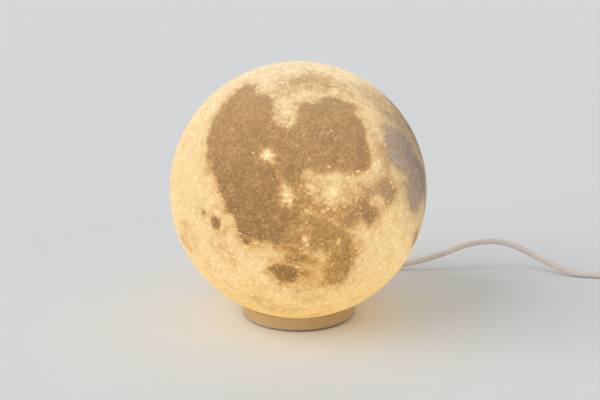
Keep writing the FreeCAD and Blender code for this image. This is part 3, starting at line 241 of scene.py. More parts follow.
# ---- cord: routes in millimetres ----
CORD_DIAMETER = 0.0040
LEAD_ROUTE = [
    (0, 46, 3.3), (0, 55.5, 3.3), (4, 66, 2.4), (13.5, 75.5, 2), (28, 80, 2), (50, 79, 2),
    (74, 77.7, 3.7), (99, 80.3, 10.1), (123, 84.6, 18.7), (146, 82.8, 19.8), (167, 74, 9.9),
    (186, 64, 2.2), (203, 61, 2), (218, 57, 2.2), (227.5, 47, 4), (232, 35.5, 6.2),
    (232, 24, 6.2)]
LINK_ROUTE = [
    (232, -24, 6.2), (232, -32, 6.2), (235.5, -42.5, 4.6), (241, -52.5, 3.1),
    (246, -63, 3.1), (246, -74, 3.1)]
TAIL_ROUTE = [
    (246, -82, 7.6), (246, -90, 7.6), (249.1, -101.5, 6.4), (257.5, -109.9, 5),
    (269, -113, 4.1), (280.5, -109.9, 4), (288.9, -101.5, 4), (292, -90, 4), (292, -80, 4)]
COIL_CENTRE = (215, -78)
COIL_INNER = 13.0
COIL_PITCH = 4.5
COIL_TURNS = 4  # in each of the two layers
COIL_STEPS = 16  # route points in a turn
COIL_HEIGHT = 3.1

STRAP_THICKNESS = 0.0008
STRAP_CORNER = 0.0028
STRAP_CORNER_STEPS = 8
STRAP_EDGE = 0.35  # share of the thickness left at its edges
STRAP_FLAT = 0.94  # share of the width that has the whole thickness
LAP_STEPS = 12
LAP_WIDTH = 0.97  # of the strap's width
LAP_THICKNESS = 0.0006
LAP_START = 0.0040
LAP_END = 0.0015
LAP_TIP = 0.12  # share of the lap that is its narrower tip
LAP_NARROWED = 0.35
LAP_GAP = 0.00005
LAP_RAISED = 0.25  # share of the lap that stands off the band
LAP_RISE = 0.0012

CAMERA_PLACE = (0.00098, -0.47935, 0.18718)
CAMERA_TILT = 13.766  # degrees below level
LIGHT_PACKAGES = 6
WINDOW_LEVEL = 0.01988  # height of each light package's sunk window
FLOOR_HALF = 60.0


# ---- camera and light ----
def add_object(name, data):
    piece = bpy.data.objects.new(name, data)
    bpy.context.scene.collection.objects.link(piece)
    return piece


def make_camera():
    data = bpy.data.cameras.new("camera")
    data.lens = 50
    data.sensor_width = 36
    camera = add_object("camera", data)
    camera.location = CAMERA_PLACE
    camera.rotation_euler = (math.radians(90 - CAMERA_TILT), 0, 0)
    bpy.context.scene.camera = camera


def make_lamp(name, strength, softness, direction):
    """Distant soft lamp that shines from a direction."""
    data = bpy.data.lights.new(name, "SUN")
    data.energy = strength
    data.angle = math.radians(softness)
    lamp = add_object(name, data)
    lamp.rotation_mode = "QUATERNION"
    lamp.rotation_quaternion = Vector(direction).to_track_quat("Z", "Y")


def add(tree, kind, inputs=None, **settings):
    """One shader node with its settings, values and links."""
    node = tree.nodes.new(kind)
    for key, value in settings.items():
        setattr(node, key, value)
    for key, value in (inputs or {}).items():
        if isinstance(value, bpy.types.NodeSocket):
            tree.links.new(value, node.inputs[key])
        else:
            node.inputs[key].default_value = value
    return node


def make_world():
    """Even ambient light, with a pale backdrop for what is seen or mirrored."""
    world = bpy.data.worlds.new("studio")
    bpy.context.scene.world = world
    world.use_nodes = True
    tree = world.node_tree
    tree.nodes.clear()
    path = add(tree, "ShaderNodeLightPath")
    seen = path.outputs["Is Camera Ray"]
    for ray in ("Is Glossy Ray", "Is Transmission Ray"):
        seen = add(tree, "ShaderNodeMath", {0: seen, 1: path.outputs[ray]},
                   operation="MAXIMUM").outputs[0]
    ambient = add(tree, "ShaderNodeBackground", {"Color": (0.98, 0.99, 1.0, 1), "Strength": 0.55})
    backdrop = add(tree, "ShaderNodeBackground", {"Color": (0.80, 0.82, 0.83, 1), "Strength": 1.0})
    both = add(tree, "ShaderNodeMixShader", {0: seen, 1: ambient.outputs[0],
                                             2: backdrop.outputs[0]})
    add(tree, "ShaderNodeOutputWorld", {"Surface": both.outputs[0]})


# ---- finishes ----
class Finish:
    """A finish built from procedural nodes in the object's own space."""

    def __init__(self, name, **fixed):
        self.material = bpy.data.materials.new(name)
        self.material.use_nodes = True
        self.tree = self.material.node_tree
        self.shader = self.tree.nodes["Principled BSDF"]
        for key, value in fixed.items():
            self.shader.inputs[key.replace("_", " ")].default_value = value
        self.place = add(self.tree, "ShaderNodeTexCoord").outputs["Object"]

    def link(self, key, socket):
        self.tree.links.new(socket, self.shader.inputs[key])

    def noise(self, scale, detail=4.0, rough=0.55, vector=None, distortion=0.0):
        inputs = {"Vector": vector or self.place, "Scale": scale, "Detail": detail,
                  "Roughness": rough, "Distortion": distortion}
        return add(self.tree, "ShaderNodeTexNoise", inputs).outputs["Fac"]

    def cells(self, scale, feature="F1", vector=None, randomness=1.0):
        inputs = {"Vector": vector or self.place, "Scale": scale, "Randomness": randomness}
        return add(self.tree, "ShaderNodeTexVoronoi", inputs, feature=feature)

    def wave(self, scale, direction, distortion=0.0):
        inputs = {"Vector": self.place, "Scale": scale, "Distortion": distortion}
        return add(self.tree, "ShaderNodeTexWave", inputs, bands_direction=direction,
                   wave_profile="SIN").outputs["Fac"]

    def math(self, operation, first, second=0.0, third=0.0, clamp=False):
        node = add(self.tree, "ShaderNodeMath", {0: first, 1: second, 2: third},
                   operation=operation, use_clamp=clamp)
        return node.outputs[0]

    def times(self, first, second, clamp=False):
        return self.math("MULTIPLY", first, second, clamp=clamp)

    def times_plus(self, first, second, third, clamp=False):
        return self.math("MULTIPLY_ADD", first, second, third, clamp)

    def centred(self, *noise, **settings):
        """Noise about zero."""
        return self.math("SUBTRACT", self.noise(*noise, **settings), 0.5)

    def scaled(self, value, low, high, to_low=0.0, to_high=1.0, smooth=True):
        inputs = {"Value": value, "From Min": low, "From Max": high, "To Min": to_low,
                  "To Max": to_high}
        kind = "SMOOTHSTEP" if smooth else "LINEAR"
        node = add(self.tree, "ShaderNodeMapRange", inputs, interpolation_type=kind)
        return node.outputs["Result"]

    def clouds(self, scale, to_low=0.0, to_high=1.0, detail=3):
        """Soft clouds from one value to another."""
        return self.scaled(self.noise(scale, detail), 0.3, 0.7, to_low, to_high)

    def mix(self, factor, first, second, blend="MIX"):
        node = add(self.tree, "ShaderNodeMix", {0: factor, 6: first, 7: second},
                   data_type="RGBA", blend_type=blend)
        return node.outputs[2]

    def tinted(self, tone, tint):
        return self.mix(1.0, tone, tint, blend="MULTIPLY")

    def shades(self, factor, tone, darker, lighter):
        """Base colour between two shades of one tone."""
        self.link("Base Color", self.mix(factor, shade(tone, darker), shade(tone, lighter)))

    def ramp(self, value, stops):
        """Colours that follow a value: each stop's place, red, green and blue."""
        node = add(self.tree, "ShaderNodeValToRGB", {"Fac": value})
        elements = node.color_ramp.elements
        while len(elements) < len(stops):
            elements.new(0.5)
        for element, (position, *tone) in zip(elements, stops):
            element.position = position
            element.color = colour(*tone)
        return node.outputs["Color"]

    def stretched(self, scale):
        node = add(self.tree, "ShaderNodeMapping", {"Vector": self.place, "Scale": scale})
        return node.outputs["Vector"]

    def attribute(self, name):
        return add(self.tree, "ShaderNodeAttribute", attribute_name=name).outputs["Fac"]

    def coordinate(self, axis):
        return add(self.tree, "ShaderNodeSeparateXYZ", {0: self.place}).outputs[axis]

    def bump(self, height, distance):
        node = add(self.tree, "ShaderNodeBump", {"Height": height, "Distance": distance,
                                                 "Strength": 1.0})
        self.link("Normal", node.outputs["Normal"])


def colour(red, green, blue):
    """Linear colour from 0-255 screen values."""
    linear = []
    for value in (red, green, blue):
        share = value / 255
        linear.append(share / 12.92 if share <= 0.04045 else ((share + 0.055) / 1.055) ** 2.4)
    return (*linear, 1.0)


def shade(tone, share):
    """The same tone, darker or lighter."""
    return (*(channel * share for channel in tone[:3]), 1.0)


def plastic(name, tone, roughness, grain=0.00002, grain_scale=2600):
    """Moulded plastic: faint clouds in the tone, a fine grain and uneven gloss."""
    finish = Finish(name)
    finish.shades(finish.clouds(38), tone, 0.95, 1.05)
    finish.link("Roughness", finish.clouds(160, roughness - 0.05, roughness + 0.06))
    finish.bump(finish.noise(grain_scale, 2, 0.6), grain)
    return finish.material


def metal(name, tone, roughness, direction):
    """Plated or drawn metal with fine lines along one direction."""
    finish = Finish(name, Metallic=1.0)
    lines = finish.noise(1, 3, vector=finish.stretched(direction))
    finish.shades(finish.noise(420, 3), tone, 0.90, 1.06)
    finish.link("Roughness", finish.scaled(lines, 0.3, 0.7, roughness - 0.06, roughness + 0.10))
    finish.bump(lines, 0.00001)
    return finish.material


# ---- pieces ----
def add_mesh(name, vertices, faces, finish, smooth=True):
    mesh = bpy.data.meshes.new(name)
    mesh.from_pydata(vertices, [], faces)
    mesh.materials.append(finish)
    mesh.polygons.foreach_set("use_smooth", [smooth] * len(mesh.polygons))
    return add_object(name, mesh)


def dress(names, finish):
    """Put one finish on the solids with these names."""
    for name in names:
        for material_slot in nodes[name].material_slots:
            material_slot.material = finish


def coil_route():
    """Points of the wound turns: in to the middle, up a layer and out again."""
    cut = 0.75 + 0.25 * math.cos(2 * math.pi / COIL_STEPS)
    route = []
    for step in range(-COIL_TURNS * COIL_STEPS, COIL_TURNS * COIL_STEPS + 1):
        turn = step / COIL_STEPS
        radius = (COIL_INNER + COIL_PITCH * abs(turn)) / cut
        climbed = min(max(2 * turn + 0.5, 0), 1)
        height = COIL_HEIGHT + COIL_PITCH * climbed ** 2 * (3 - 2 * climbed)
        angle = -2 * math.pi * (turn + COIL_TURNS)
        route.append((COIL_CENTRE[0] + radius * math.cos(angle),
                      COIL_CENTRE[1] + radius * math.sin(angle), height))
    return route


def make_cord(name, route, finish):
    """Round cord along one smooth curve with the route's points as its control points."""
    data = bpy.data.curves.new(name, "CURVE")
    data.dimensions = "3D"
    data.bevel_depth = CORD_DIAMETER / 2
    data.bevel_resolution = 6
    data.use_fill_caps = True
    data.resolution_u = 6
    spline = data.splines.new("NURBS")
    spline.points.add(len(route) - 1)
    for point, (x, y, z) in zip(spline.points, route):
        point.co = (x * MM, y * MM, z * MM, 1)
    spline.order_u = 3
    spline.use_endpoint_u = True
    data.materials.append(finish)
    return add_object(name, data)


make_camera()
make_world()
make_lamp("key", 1.60, 56, (-0.84, -0.34, 0.60))
make_lamp("fill", 0.12, 90, (0.70, -0.60, 0.50))
bpy.context.scene.view_settings.view_transform = "Standard"


def cord_finish():
    """Smooth off-white jacket with a faint drawn grain along it and handling marks."""
    finish = Finish("cord_jacket", Specular_IOR_Level=0.45)
    tone = colour(226, 215, 204)
    finish.shades(finish.clouds(55), tone, 0.93, 1.03)
    finish.link("Roughness", finish.clouds(300, 0.34, 0.48))
    finish.bump(finish.noise(3200, 2), 0.000012)
    return finish.material


jacket = cord_finish()

lead = make_cord("lead", LEAD_ROUTE, jacket)
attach(lead, "base")
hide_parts("cord_lead")


# ---- strap round the coil ----
def strap_finish():
    """Woven band: crossing threads in two directions and a soft fuzz."""
    finish = Finish("strap_weave", Roughness=0.85)
    weave = finish.times_plus(*(finish.wave(900, axis) for axis in "XYZ"))
    fuzz = finish.noise(1500, 3)
    height = finish.math("ADD", weave, finish.times(fuzz, 0.5))
    tone = colour(214, 211, 204)
    finish.shades(finish.scaled(height, 0.4, 1.8), tone, 0.72, 1.05)
    finish.bump(height, 0.00012)
    return finish.material


def rounded_loop(low, high, corner):
    """Closed outline of a rounded rectangle, counterclockwise from the lower right."""
    centres = [(high[0] - corner, low[1] + corner), (high[0] - corner, high[1] - corner),
               (low[0] + corner, high[1] - corner), (low[0] + corner, low[1] + corner)]
    loop = []
    for quarter, (x, z) in enumerate(centres, -1):
        for step in range(STRAP_CORNER_STEPS + 1):
            angle = math.radians(90 * quarter + 90 * step / STRAP_CORNER_STEPS)
            loop.append((x + corner * math.cos(angle), z + corner * math.sin(angle)))
    return loop


def ring_faces(first, rings, size, closed):
    """Quads between rings of points that follow each other, from a first point on."""
    faces = []
    for ring in range(rings if closed else rings - 1):
        here = first + ring * size
        there = first + (ring + 1) % rings * size
        for side in range(size):
            other = (side + 1) % size
            faces.append((here + side, here + other, there + other, there + side))
    return faces


def strap_band(low, high):
    """Points of the closed band, ring by ring, with thinner edges."""
    outer = rounded_loop((low.x, low.z), (high.x, high.z), STRAP_CORNER)
    inner = rounded_loop((low.x + STRAP_THICKNESS, low.z + STRAP_THICKNESS),
                         (high.x - STRAP_THICKNESS, high.z - STRAP_THICKNESS),
                         STRAP_CORNER - STRAP_THICKNESS)
    half = (high.y - low.y) / 2
    middle = (high.y + low.y) / 2
    across = [(-half, STRAP_EDGE), (-half * STRAP_FLAT, 1.0), (half * STRAP_FLAT, 1.0),
              (half, STRAP_EDGE)]
    vertices = []
    for (outer_x, outer_z), (inner_x, inner_z) in zip(outer, inner):
        x, z = (outer_x + inner_x) / 2, (outer_z + inner_z) / 2
        for y, share in across:
            vertices.append((x + (outer_x - x) * share, middle + y, z + (outer_z - z) * share))
        for y, share in reversed(across):
            vertices.append((x + (inner_x - x) * share, middle + y, z + (inner_z - z) * share))
    return vertices, len(outer), 2 * len(across)


def strap_lap(low, high):
    """Points of the free end on top, narrower and a little raised where it starts."""
    half = (high.y - low.y) / 2
    middle = (high.y + low.y) / 2
    start = low.x + LAP_START
    end = high.x - LAP_END
    vertices = []
    for step in range(LAP_STEPS + 1):
        along = step / LAP_STEPS
        x = start + (end - start) * along
        width = half * (1 - LAP_NARROWED * max(0, (LAP_TIP - along) / LAP_TIP) ** 2) * LAP_WIDTH
        bottom = high.z + LAP_GAP + LAP_RISE * max(0, LAP_RAISED - along) ** 2
        top = bottom + LAP_THICKNESS
        for y, z in ((-width, bottom), (width, bottom), (width, top), (-width, top)):
            vertices.append((x, middle + y, z))
    return vertices


def make_strap():
    """Flat band round the piled turns, with its free end lapped over the top."""
    low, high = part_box("cord_tie")
    vertices, rings, size = strap_band(low, high)
    faces = ring_faces(0, rings, size, closed=True)
    first = len(vertices)
    last = first + LAP_STEPS * 4
    vertices += strap_lap(low, high)
    faces += ring_faces(first, LAP_STEPS + 1, 4, closed=False)
    faces.append((first + 3, first + 2, first + 1, first))
    faces.append((last, last + 1, last + 2, last + 3))
    piece = add_mesh("strap", vertices, faces, strap_finish())
    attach(piece, "base")
    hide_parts("cord_tie")
    return piece


strap = make_strap()
rest = make_cord("coiled_cord", LINK_ROUTE + coil_route() + TAIL_ROUTE, jacket)
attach(rest, "base")
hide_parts("cord_link", "cord_coil", "cord_tail")


# ---- the Moon's map ----
def map_matrix():
    """Turn of the map on the globe, then its small leans."""
    lean_right = Matrix.Rotation(math.radians(MAP_LEAN_RIGHT), 3, "Y")
    lean_forward = Matrix.Rotation(math.radians(MAP_LEAN_FORWARD), 3, "X")
    turn = Matrix.Rotation(math.radians(MAP_TURN), 3, "Z")
    return np.array(lean_right @ lean_forward @ turn)


MAP = map_matrix()
TINY = 1e-9  # keeps a division from failing


def way(north, east):
    """Direction on the globe of a place on the map."""
    north, east = math.radians(north), math.radians(east)
    place = np.array([math.cos(north) * math.sin(east), -math.cos(north) * math.cos(east),
                      math.sin(north)])
    return MAP @ place


def arc_between(ways, centre):
    """Angles in degrees from each direction to one other."""
    return np.degrees(np.arccos(np.clip(ways @ centre, -1, 1)))


def flattened(ways, centre):
    """Directions laid out round a centre, in degrees, true to distance from it."""
    aside = np.cross(centre, (0.0, 0.0, 1.0))
    aside = aside / np.linalg.norm(aside)
    ahead = np.cross(aside, centre)
    flat = np.stack([ways @ aside, ways @ ahead], axis=-1)
    length = np.maximum(np.linalg.norm(flat, axis=-1), TINY)
    return flat * (arc_between(ways, centre) / length)[..., None]


def off_run(points, start, end):
    """Distances of flat points from the straight run between two others."""
    run = end - start
    along = np.clip(((points - start) @ run) / (run @ run), 0, 1)
    gap = points - start - along[:, None] * run
    return np.hypot(gap[:, 0], gap[:, 1])


def depth_inside(ways, outline):
    """Degrees inside an outline, negative outside, limited to the seas' reach."""
    corners = np.array([way(*corner) for corner in zip(outline[::2], outline[1::2])])
    centre = corners.mean(axis=0)
    centre = centre / np.linalg.norm(centre)
    widest = arc_between(corners, centre).max()
    found = np.full(len(ways), -SEA_REACH)
    reach = math.radians(min(widest + SEA_REACH, 120))
    near = np.nonzero(ways @ centre > math.cos(reach))[0]
    points = flattened(ways[near], centre)
    flat_corners = flattened(corners, centre)
    distance = np.full(len(near), np.inf)
    inside = np.zeros(len(near), bool)
    for start, end in zip(flat_corners, np.roll(flat_corners, -1, axis=0)):
        distance = np.minimum(distance, off_run(points, start, end))
        spans = (start[1] > points[:, 1]) != (end[1] > points[:, 1])
        run = end - start
        rise = run[1] if abs(run[1]) > TINY else TINY
        crossing = start[0] + (points[:, 1] - start[1]) * run[0] / rise
        inside ^= spans & (points[:, 0] < crossing)
    found[near] = np.clip(np.where(inside, distance, -distance), -SEA_REACH, SEA_REACH)
    return found


def sea_fields(ways):
    """Depth inside the seas, and how dark, grey and soft-edged the nearest sea is."""
    depths = [depth_inside(ways, outline) for *_, outline in SEAS]
    looks = [sea[1:4] for sea in SEAS]
    for north, east, radius, dark in DARK_FLOORS:
        depth = radius - arc_between(ways, way(north, east))
        depths.append(np.clip(depth, -SEA_REACH, SEA_REACH))
        looks.append((dark, FLOOR_GREY, CRISP))
    depths = np.array(depths)
    deepest = depths.max(axis=0)
    pull = np.exp((depths - deepest) / SEA_PULL) * (depths > -SEA_REACH + 0.01)
    total = np.maximum(pull.sum(axis=0), TINY)
    dark, grey, soft = [(pull * np.array(values)[:, None]).sum(axis=0) / total
                        for values in zip(*looks)]
    return deepest, dark, grey, soft


def ray_fans(ways, centre, reach, rng):
    """Thin uneven rays that run out from a young crater."""
    distance = arc_between(ways, centre)
    flat = flattened(ways, centre)
    bearing = np.arctan2(flat[:, 1], flat[:, 0])
    total = np.zeros(len(ways))
    for _ in range(RAY_COUNT):
        heading = rng.uniform(-math.pi, math.pi)
        length = reach * rng.uniform(*RAY_LENGTHS)
        width = rng.uniform(*RAY_WIDTHS)
        off = np.abs((bearing - heading + math.pi) % (2 * math.pi) - math.pi)
        aside = distance * np.sin(np.minimum(off, math.pi / 2))
        fade = np.clip(1 - distance / length, 0, 1) * np.clip(distance / RAY_CLEARING, 0, 1)
        strength = fade * (off < RAY_SPREAD) * rng.uniform(*RAY_STRENGTHS)
        total += np.exp(-(aside / width) ** 2) * strength
    return np.minimum(total, 1.0)


def bright_field(ways, rng):
    """Young craters with their halos, rays and streaks."""
    total = np.zeros(len(ways))
    for north, east, core, core_light, halo, halo_light, *reach in BRIGHT_CRATERS:
        centre = way(north, east)
        distance = arc_between(ways, centre)
        total += core_light * np.exp(-(distance / core) ** 2)
        total += halo_light * np.exp(-(distance / halo) ** HALO_FALL)
        if reach:
            total += RAY_LIGHT * ray_fans(ways, centre, reach[0], rng)
    for start, end, half_width, light in RAY_STREAKS:
        ends = np.array([way(*start), way(*end)])
        middle = ends.sum(axis=0) / np.linalg.norm(ends.sum(axis=0))
        aside = off_run(flattened(ways, middle), *flattened(ends, middle))
        near_side = ways @ middle > 0.5
        total += near_side * light * np.exp(-(aside / half_width) ** 2)
    return total


def relief_field(ways, deepest, dark, rng):
    """Heights of scattered pits with raised rings, few on the seas and many elsewhere."""
    height = np.zeros(len(ways))
    for _ in range(PIT_COUNT):
        centre = rng.normal(size=3)
        centre = centre / np.linalg.norm(centre)
        share = rng.uniform()
        radius = PIT_LEAST * (PIT_MOST / PIT_LEAST) ** (share ** PIT_RARITY)
        cosine = ways @ centre
        near = np.nonzero(cosine > math.cos(math.radians(radius * PIT_REACH)))[0]
        if not len(near):
            continue
        in_sea = deepest[near].max() > 0 and dark[near].mean() > 0.6
        if in_sea and rng.uniform() < SEA_PITS_LEFT_OUT:
            continue
        distance = np.degrees(np.arccos(np.clip(cosine[near], -1, 1))) / radius
        floor = np.clip(distance ** 2 - 1, PIT_FLOOR, 0)
        ring = np.exp(-((distance - 1) / PIT_RING_WIDTH) ** 2) * PIT_RING
        height[near] += (floor + ring) * min(radius / PIT_FULL, 1.0) * rng.uniform(*PIT_STRENGTHS)
    return np.clip(height, RELIEF_LOW, RELIEF_HIGH)


def crater_field(ways):
    """Heights of the largest walled craters: a shallow round dish inside a low rim."""
    height = np.zeros(len(ways))
    for north, east, kilometres in CRATERS:
        radius = math.degrees(kilometres / MOON_RADIUS_KM / 2)
        distance = arc_between(ways, way(north, east)) / radius
        dish = CRATER_DEPTH * np.clip(1 - distance ** 2, 0, 1)
        rim = CRATER_RIM * np.exp(-((distance - 1) / CRATER_RIM_WIDTH) ** 2)
        height = np.where(dish > 0, np.minimum(height, -dish), height) + rim
    return height


def globe_rings(radius, rows, from_top):
    """Rings of points on a ball between its top and the mouth's edge."""
    last = math.pi - math.asin(MOUTH_RADIUS / radius)
    turn = 2 * math.pi * np.arange(GLOBE_COLUMNS) / GLOBE_COLUMNS
    tilt = last * np.arange(1, rows + 1) / rows
    if not from_top:
        tilt = tilt[::-1]
    ring = np.stack([np.cos(turn), np.sin(turn), np.zeros_like(turn)], axis=-1)
    ways = ring[None] * np.sin(tilt)[:, None, None]
    ways[..., 2] = np.cos(tilt)[:, None]
    return ways.reshape(-1, 3)


def globe_faces():
    """Quads from the outer pole, over the mouth's cut edge, to the inner pole."""
    rows = OUTER_ROWS + INNER_ROWS
    column = np.arange(GLOBE_COLUMNS)
    following = (column + 1) % GLOBE_COLUMNS
    quads = []
    for row in range(rows - 1):
        here = 1 + row * GLOBE_COLUMNS
        there = here + GLOBE_COLUMNS
        quads.append(np.stack([here + column, there + column, there + following,
                               here + following], axis=-1))
    faces = np.concatenate(quads).tolist()
    last = 1 + (rows - 1) * GLOBE_COLUMNS
    inner_pole = 1 + rows * GLOBE_COLUMNS
    for index in range(GLOBE_COLUMNS):
        other = int(following[index])
        faces.append((0, 1 + index, 1 + other))
        faces.append((last + other, last + index, inner_pole))
    return faces


def globe_finish():
    """Printed shell lit from inside: pale uplands, brown seas and bright young craters."""
    finish = Finish("moon_print", Roughness=0.62, Specular_IOR_Level=0.16,
                    Emission_Strength=0.78)
    times, times_plus, scaled, mix = finish.times, finish.times_plus, finish.scaled, finish.mix
    depth = finish.attribute("depth")
    dark = finish.attribute("dark")
    soft = finish.attribute("soft")
    bright = finish.attribute("bright")
    height = scaled(finish.coordinate("Z"), 0.0, 0.151, smooth=False)
    broad = finish.centred(95, 5, 0.62)
    medium = finish.centred(230, 8, 0.70)
    small = finish.centred(600, 4, 0.66)
    drawn = finish.centred(330, 5, 0.66, distortion=1.8)

    # Where the seas are: a ragged shore, softer round a soft sea.
    ragged = times_plus(broad, 6.0, times(medium, 9.0))
    ragged = times_plus(small, 4.5, ragged)
    ragged = times(ragged, scaled(soft, CRISP, 0.0, 0.40, 1.0, smooth=False))
    sea = scaled(finish.math("ADD", ragged, depth), times_plus(soft, -2.8, -1.90),
                 times_plus(soft, 2.0, 2.10))

    # Ejecta of the young craters clear the seas, and broad patches thin them.
    lift = times_plus(medium, 2.4, times(small, 1.8))
    ejecta = times(bright, finish.math("ADD", 1.0, lift))
    clear = scaled(ejecta, 0.02, 0.95, 1.0, 0.08, smooth=False)
    uneven = finish.math("SUBTRACT", 3.0, times(dark, 2.6))
    sea = times(sea, times_plus(medium, uneven, dark), clamp=True)
    sea = times(sea, clear)
    mottle = times_plus(broad, 0.9, times(medium, 0.65))
    sea = times(sea, finish.math("ADD", mottle, 0.95), clamp=True)

    # Painted light: warmer, more orange tones low on the globe near the light inside, paler at the
    # top.
    upland = finish.ramp(height, [
        (0.00, 249, 202, 117), (0.30, 255, 221, 158), (0.62, 252, 219, 160),
        (0.86, 255, 225, 170), (1.00, 255, 231, 188)])
    stain = finish.ramp(height, [
        (0.00, 216, 160, 88), (0.35, 218, 164, 94), (0.75, 215, 166, 107),
        (1.00, 210, 171, 122)])
    lowland = finish.ramp(height, [
        (0.00, 148, 112, 62), (0.30, 148, 113, 67), (0.62, 158, 121, 75),
        (0.84, 182, 142, 94), (1.00, 186, 154, 118)])
    pale = finish.ramp(height, [
        (0.00, 255, 222, 142), (0.50, 255, 224, 150), (1.00, 255, 236, 192)])
    spark = mix(height, colour(255, 228, 156), colour(255, 244, 212))
    grey = finish.attribute("grey")
    stain = mix(times(grey, 0.7), stain, colour(222, 192, 152))
    blotch = times_plus(medium, 1.8, times_plus(small, 1.3, 1.0))
    lowland = mix(times(grey, blotch, clamp=True), lowland, colour(200, 179, 155))

    # Uplands: clouds of stain, rougher near a coast, and pale sparkles.
    from_shore = finish.math("ABSOLUTE", depth)
    coast = scaled(from_shore, 0.5, 6.0, 1.0, 0.0)
    rough = times_plus(small, 2.2, times(medium, 2.7))
    rough = times_plus(drawn, 1.4, rough)
    cloud = times_plus(coast, 0.40, times_plus(broad, 1.3, 0.10))
    cloud = times_plus(rough, times_plus(coast, 0.8, 1.0), cloud, clamp=True)
    sparkle = scaled(times_plus(drawn, 1.1, small), 0.045, 0.25)
    upland = mix(cloud, upland, stain)
    upland = mix(times(sparkle, 0.88), upland, spark)

    # Seas: bright points, and flecks that gather near the shore.
    glints = finish.cells(400)
    glint = scaled(glints.outputs["Distance"], 0.05, 0.32, 1.0, 0.0)
    glint = times(glint, scaled(glints.outputs["Color"], 0.58, 0.90))
    near_shore = scaled(from_shore, 0.5, 3.4, 1.0, 0.0)
    near_shore = finish.math("MAXIMUM", near_shore, times(soft, 0.5))
    flecks = scaled(times_plus(small, 1.4, medium), 0.06, 0.26)
    flecks = times(flecks, times_plus(near_shore, 0.52, 0.32))
    light = finish.math("MAXIMUM", glint, flecks)
    sea = times(sea, times_plus(light, -0.85, 1.0))
    shallow = scaled(sea, 0.0, 0.55, smooth=False)
    deep = scaled(sea, 0.40, 1.0, smooth=False)
    tone = mix(deep, mix(shallow, upland, stain), lowland)

    # Young craters: a pale halo and a white core.
    halo = scaled(ejecta, 0.40, 1.40, 0.0, 0.90)
    paler = scaled(light, 0.45, 1.0, 0.0, 0.85)
    tone = mix(finish.math("MAXIMUM", paler, halo), tone, pale)
    tone = mix(scaled(bright, 1.10, 1.9), tone, colour(255, 245, 198))

    # Small pits, grain and painted relief shade darken towards orange and lighten towards white.
    pits = finish.cells(300, vector=finish.stretched((1.0, 1.06, 0.94)))
    pit = scaled(pits.outputs["Distance"], 0.06, 0.20, 1.0, 0.0)
    pit = times(pit, scaled(pits.outputs["Color"], 0.62, 0.74))
    tone = mix(times(pit, 0.35), tone, stain)
    grain = times_plus(small, 0.85, times(medium, 0.40))
    grain = times_plus(drawn, 0.55, grain)
    # Painted shade in pit and crater floors, painted light on their raised rings.
    grain_and_relief_shade = scaled(finish.attribute("relief"), -1.1, 0.9, 0.90, 1.02, smooth=False)
    grain_and_relief_shade = scaled(finish.math("ADD", grain_and_relief_shade, grain), 0.72, 1.12, smooth=False)
    tone = finish.tinted(tone, mix(grain_and_relief_shade, (0.75, 0.69, 0.60, 1), (1.10, 1.12, 1.15, 1)))
    # Painted shade: the upper right side darker and greyer.
    dimmer = finish.tinted(tone, (0.46, 0.46, 0.54, 1))
    tone = mix(finish.attribute("dim"), tone, dimmer)

    finish.link("Base Color", finish.tinted(tone, (0.26, 0.26, 0.26, 1)))
    finish.link("Emission Color", tone)
    layers = times_plus(medium, 0.8, times(small, 0.5))
    finish.bump(times_plus(pit, -0.25, layers), 0.00040)
    return finish.material


def globe_inside_finish():
    """Bare inside of the printed shell, lit evenly, with fine print layers."""
    tone = colour(252, 222, 168)
    finish = Finish("moon_inside", Roughness=0.7, Emission_Strength=0.35)
    shaded = finish.mix(finish.clouds(60, detail=4), shade(tone, 0.84), tone)
    finish.link("Base Color", shaded)
    finish.link("Emission Color", shaded)
    finish.bump(finish.wave(1600, "Z", 1.5), 0.00006)
    return finish.material


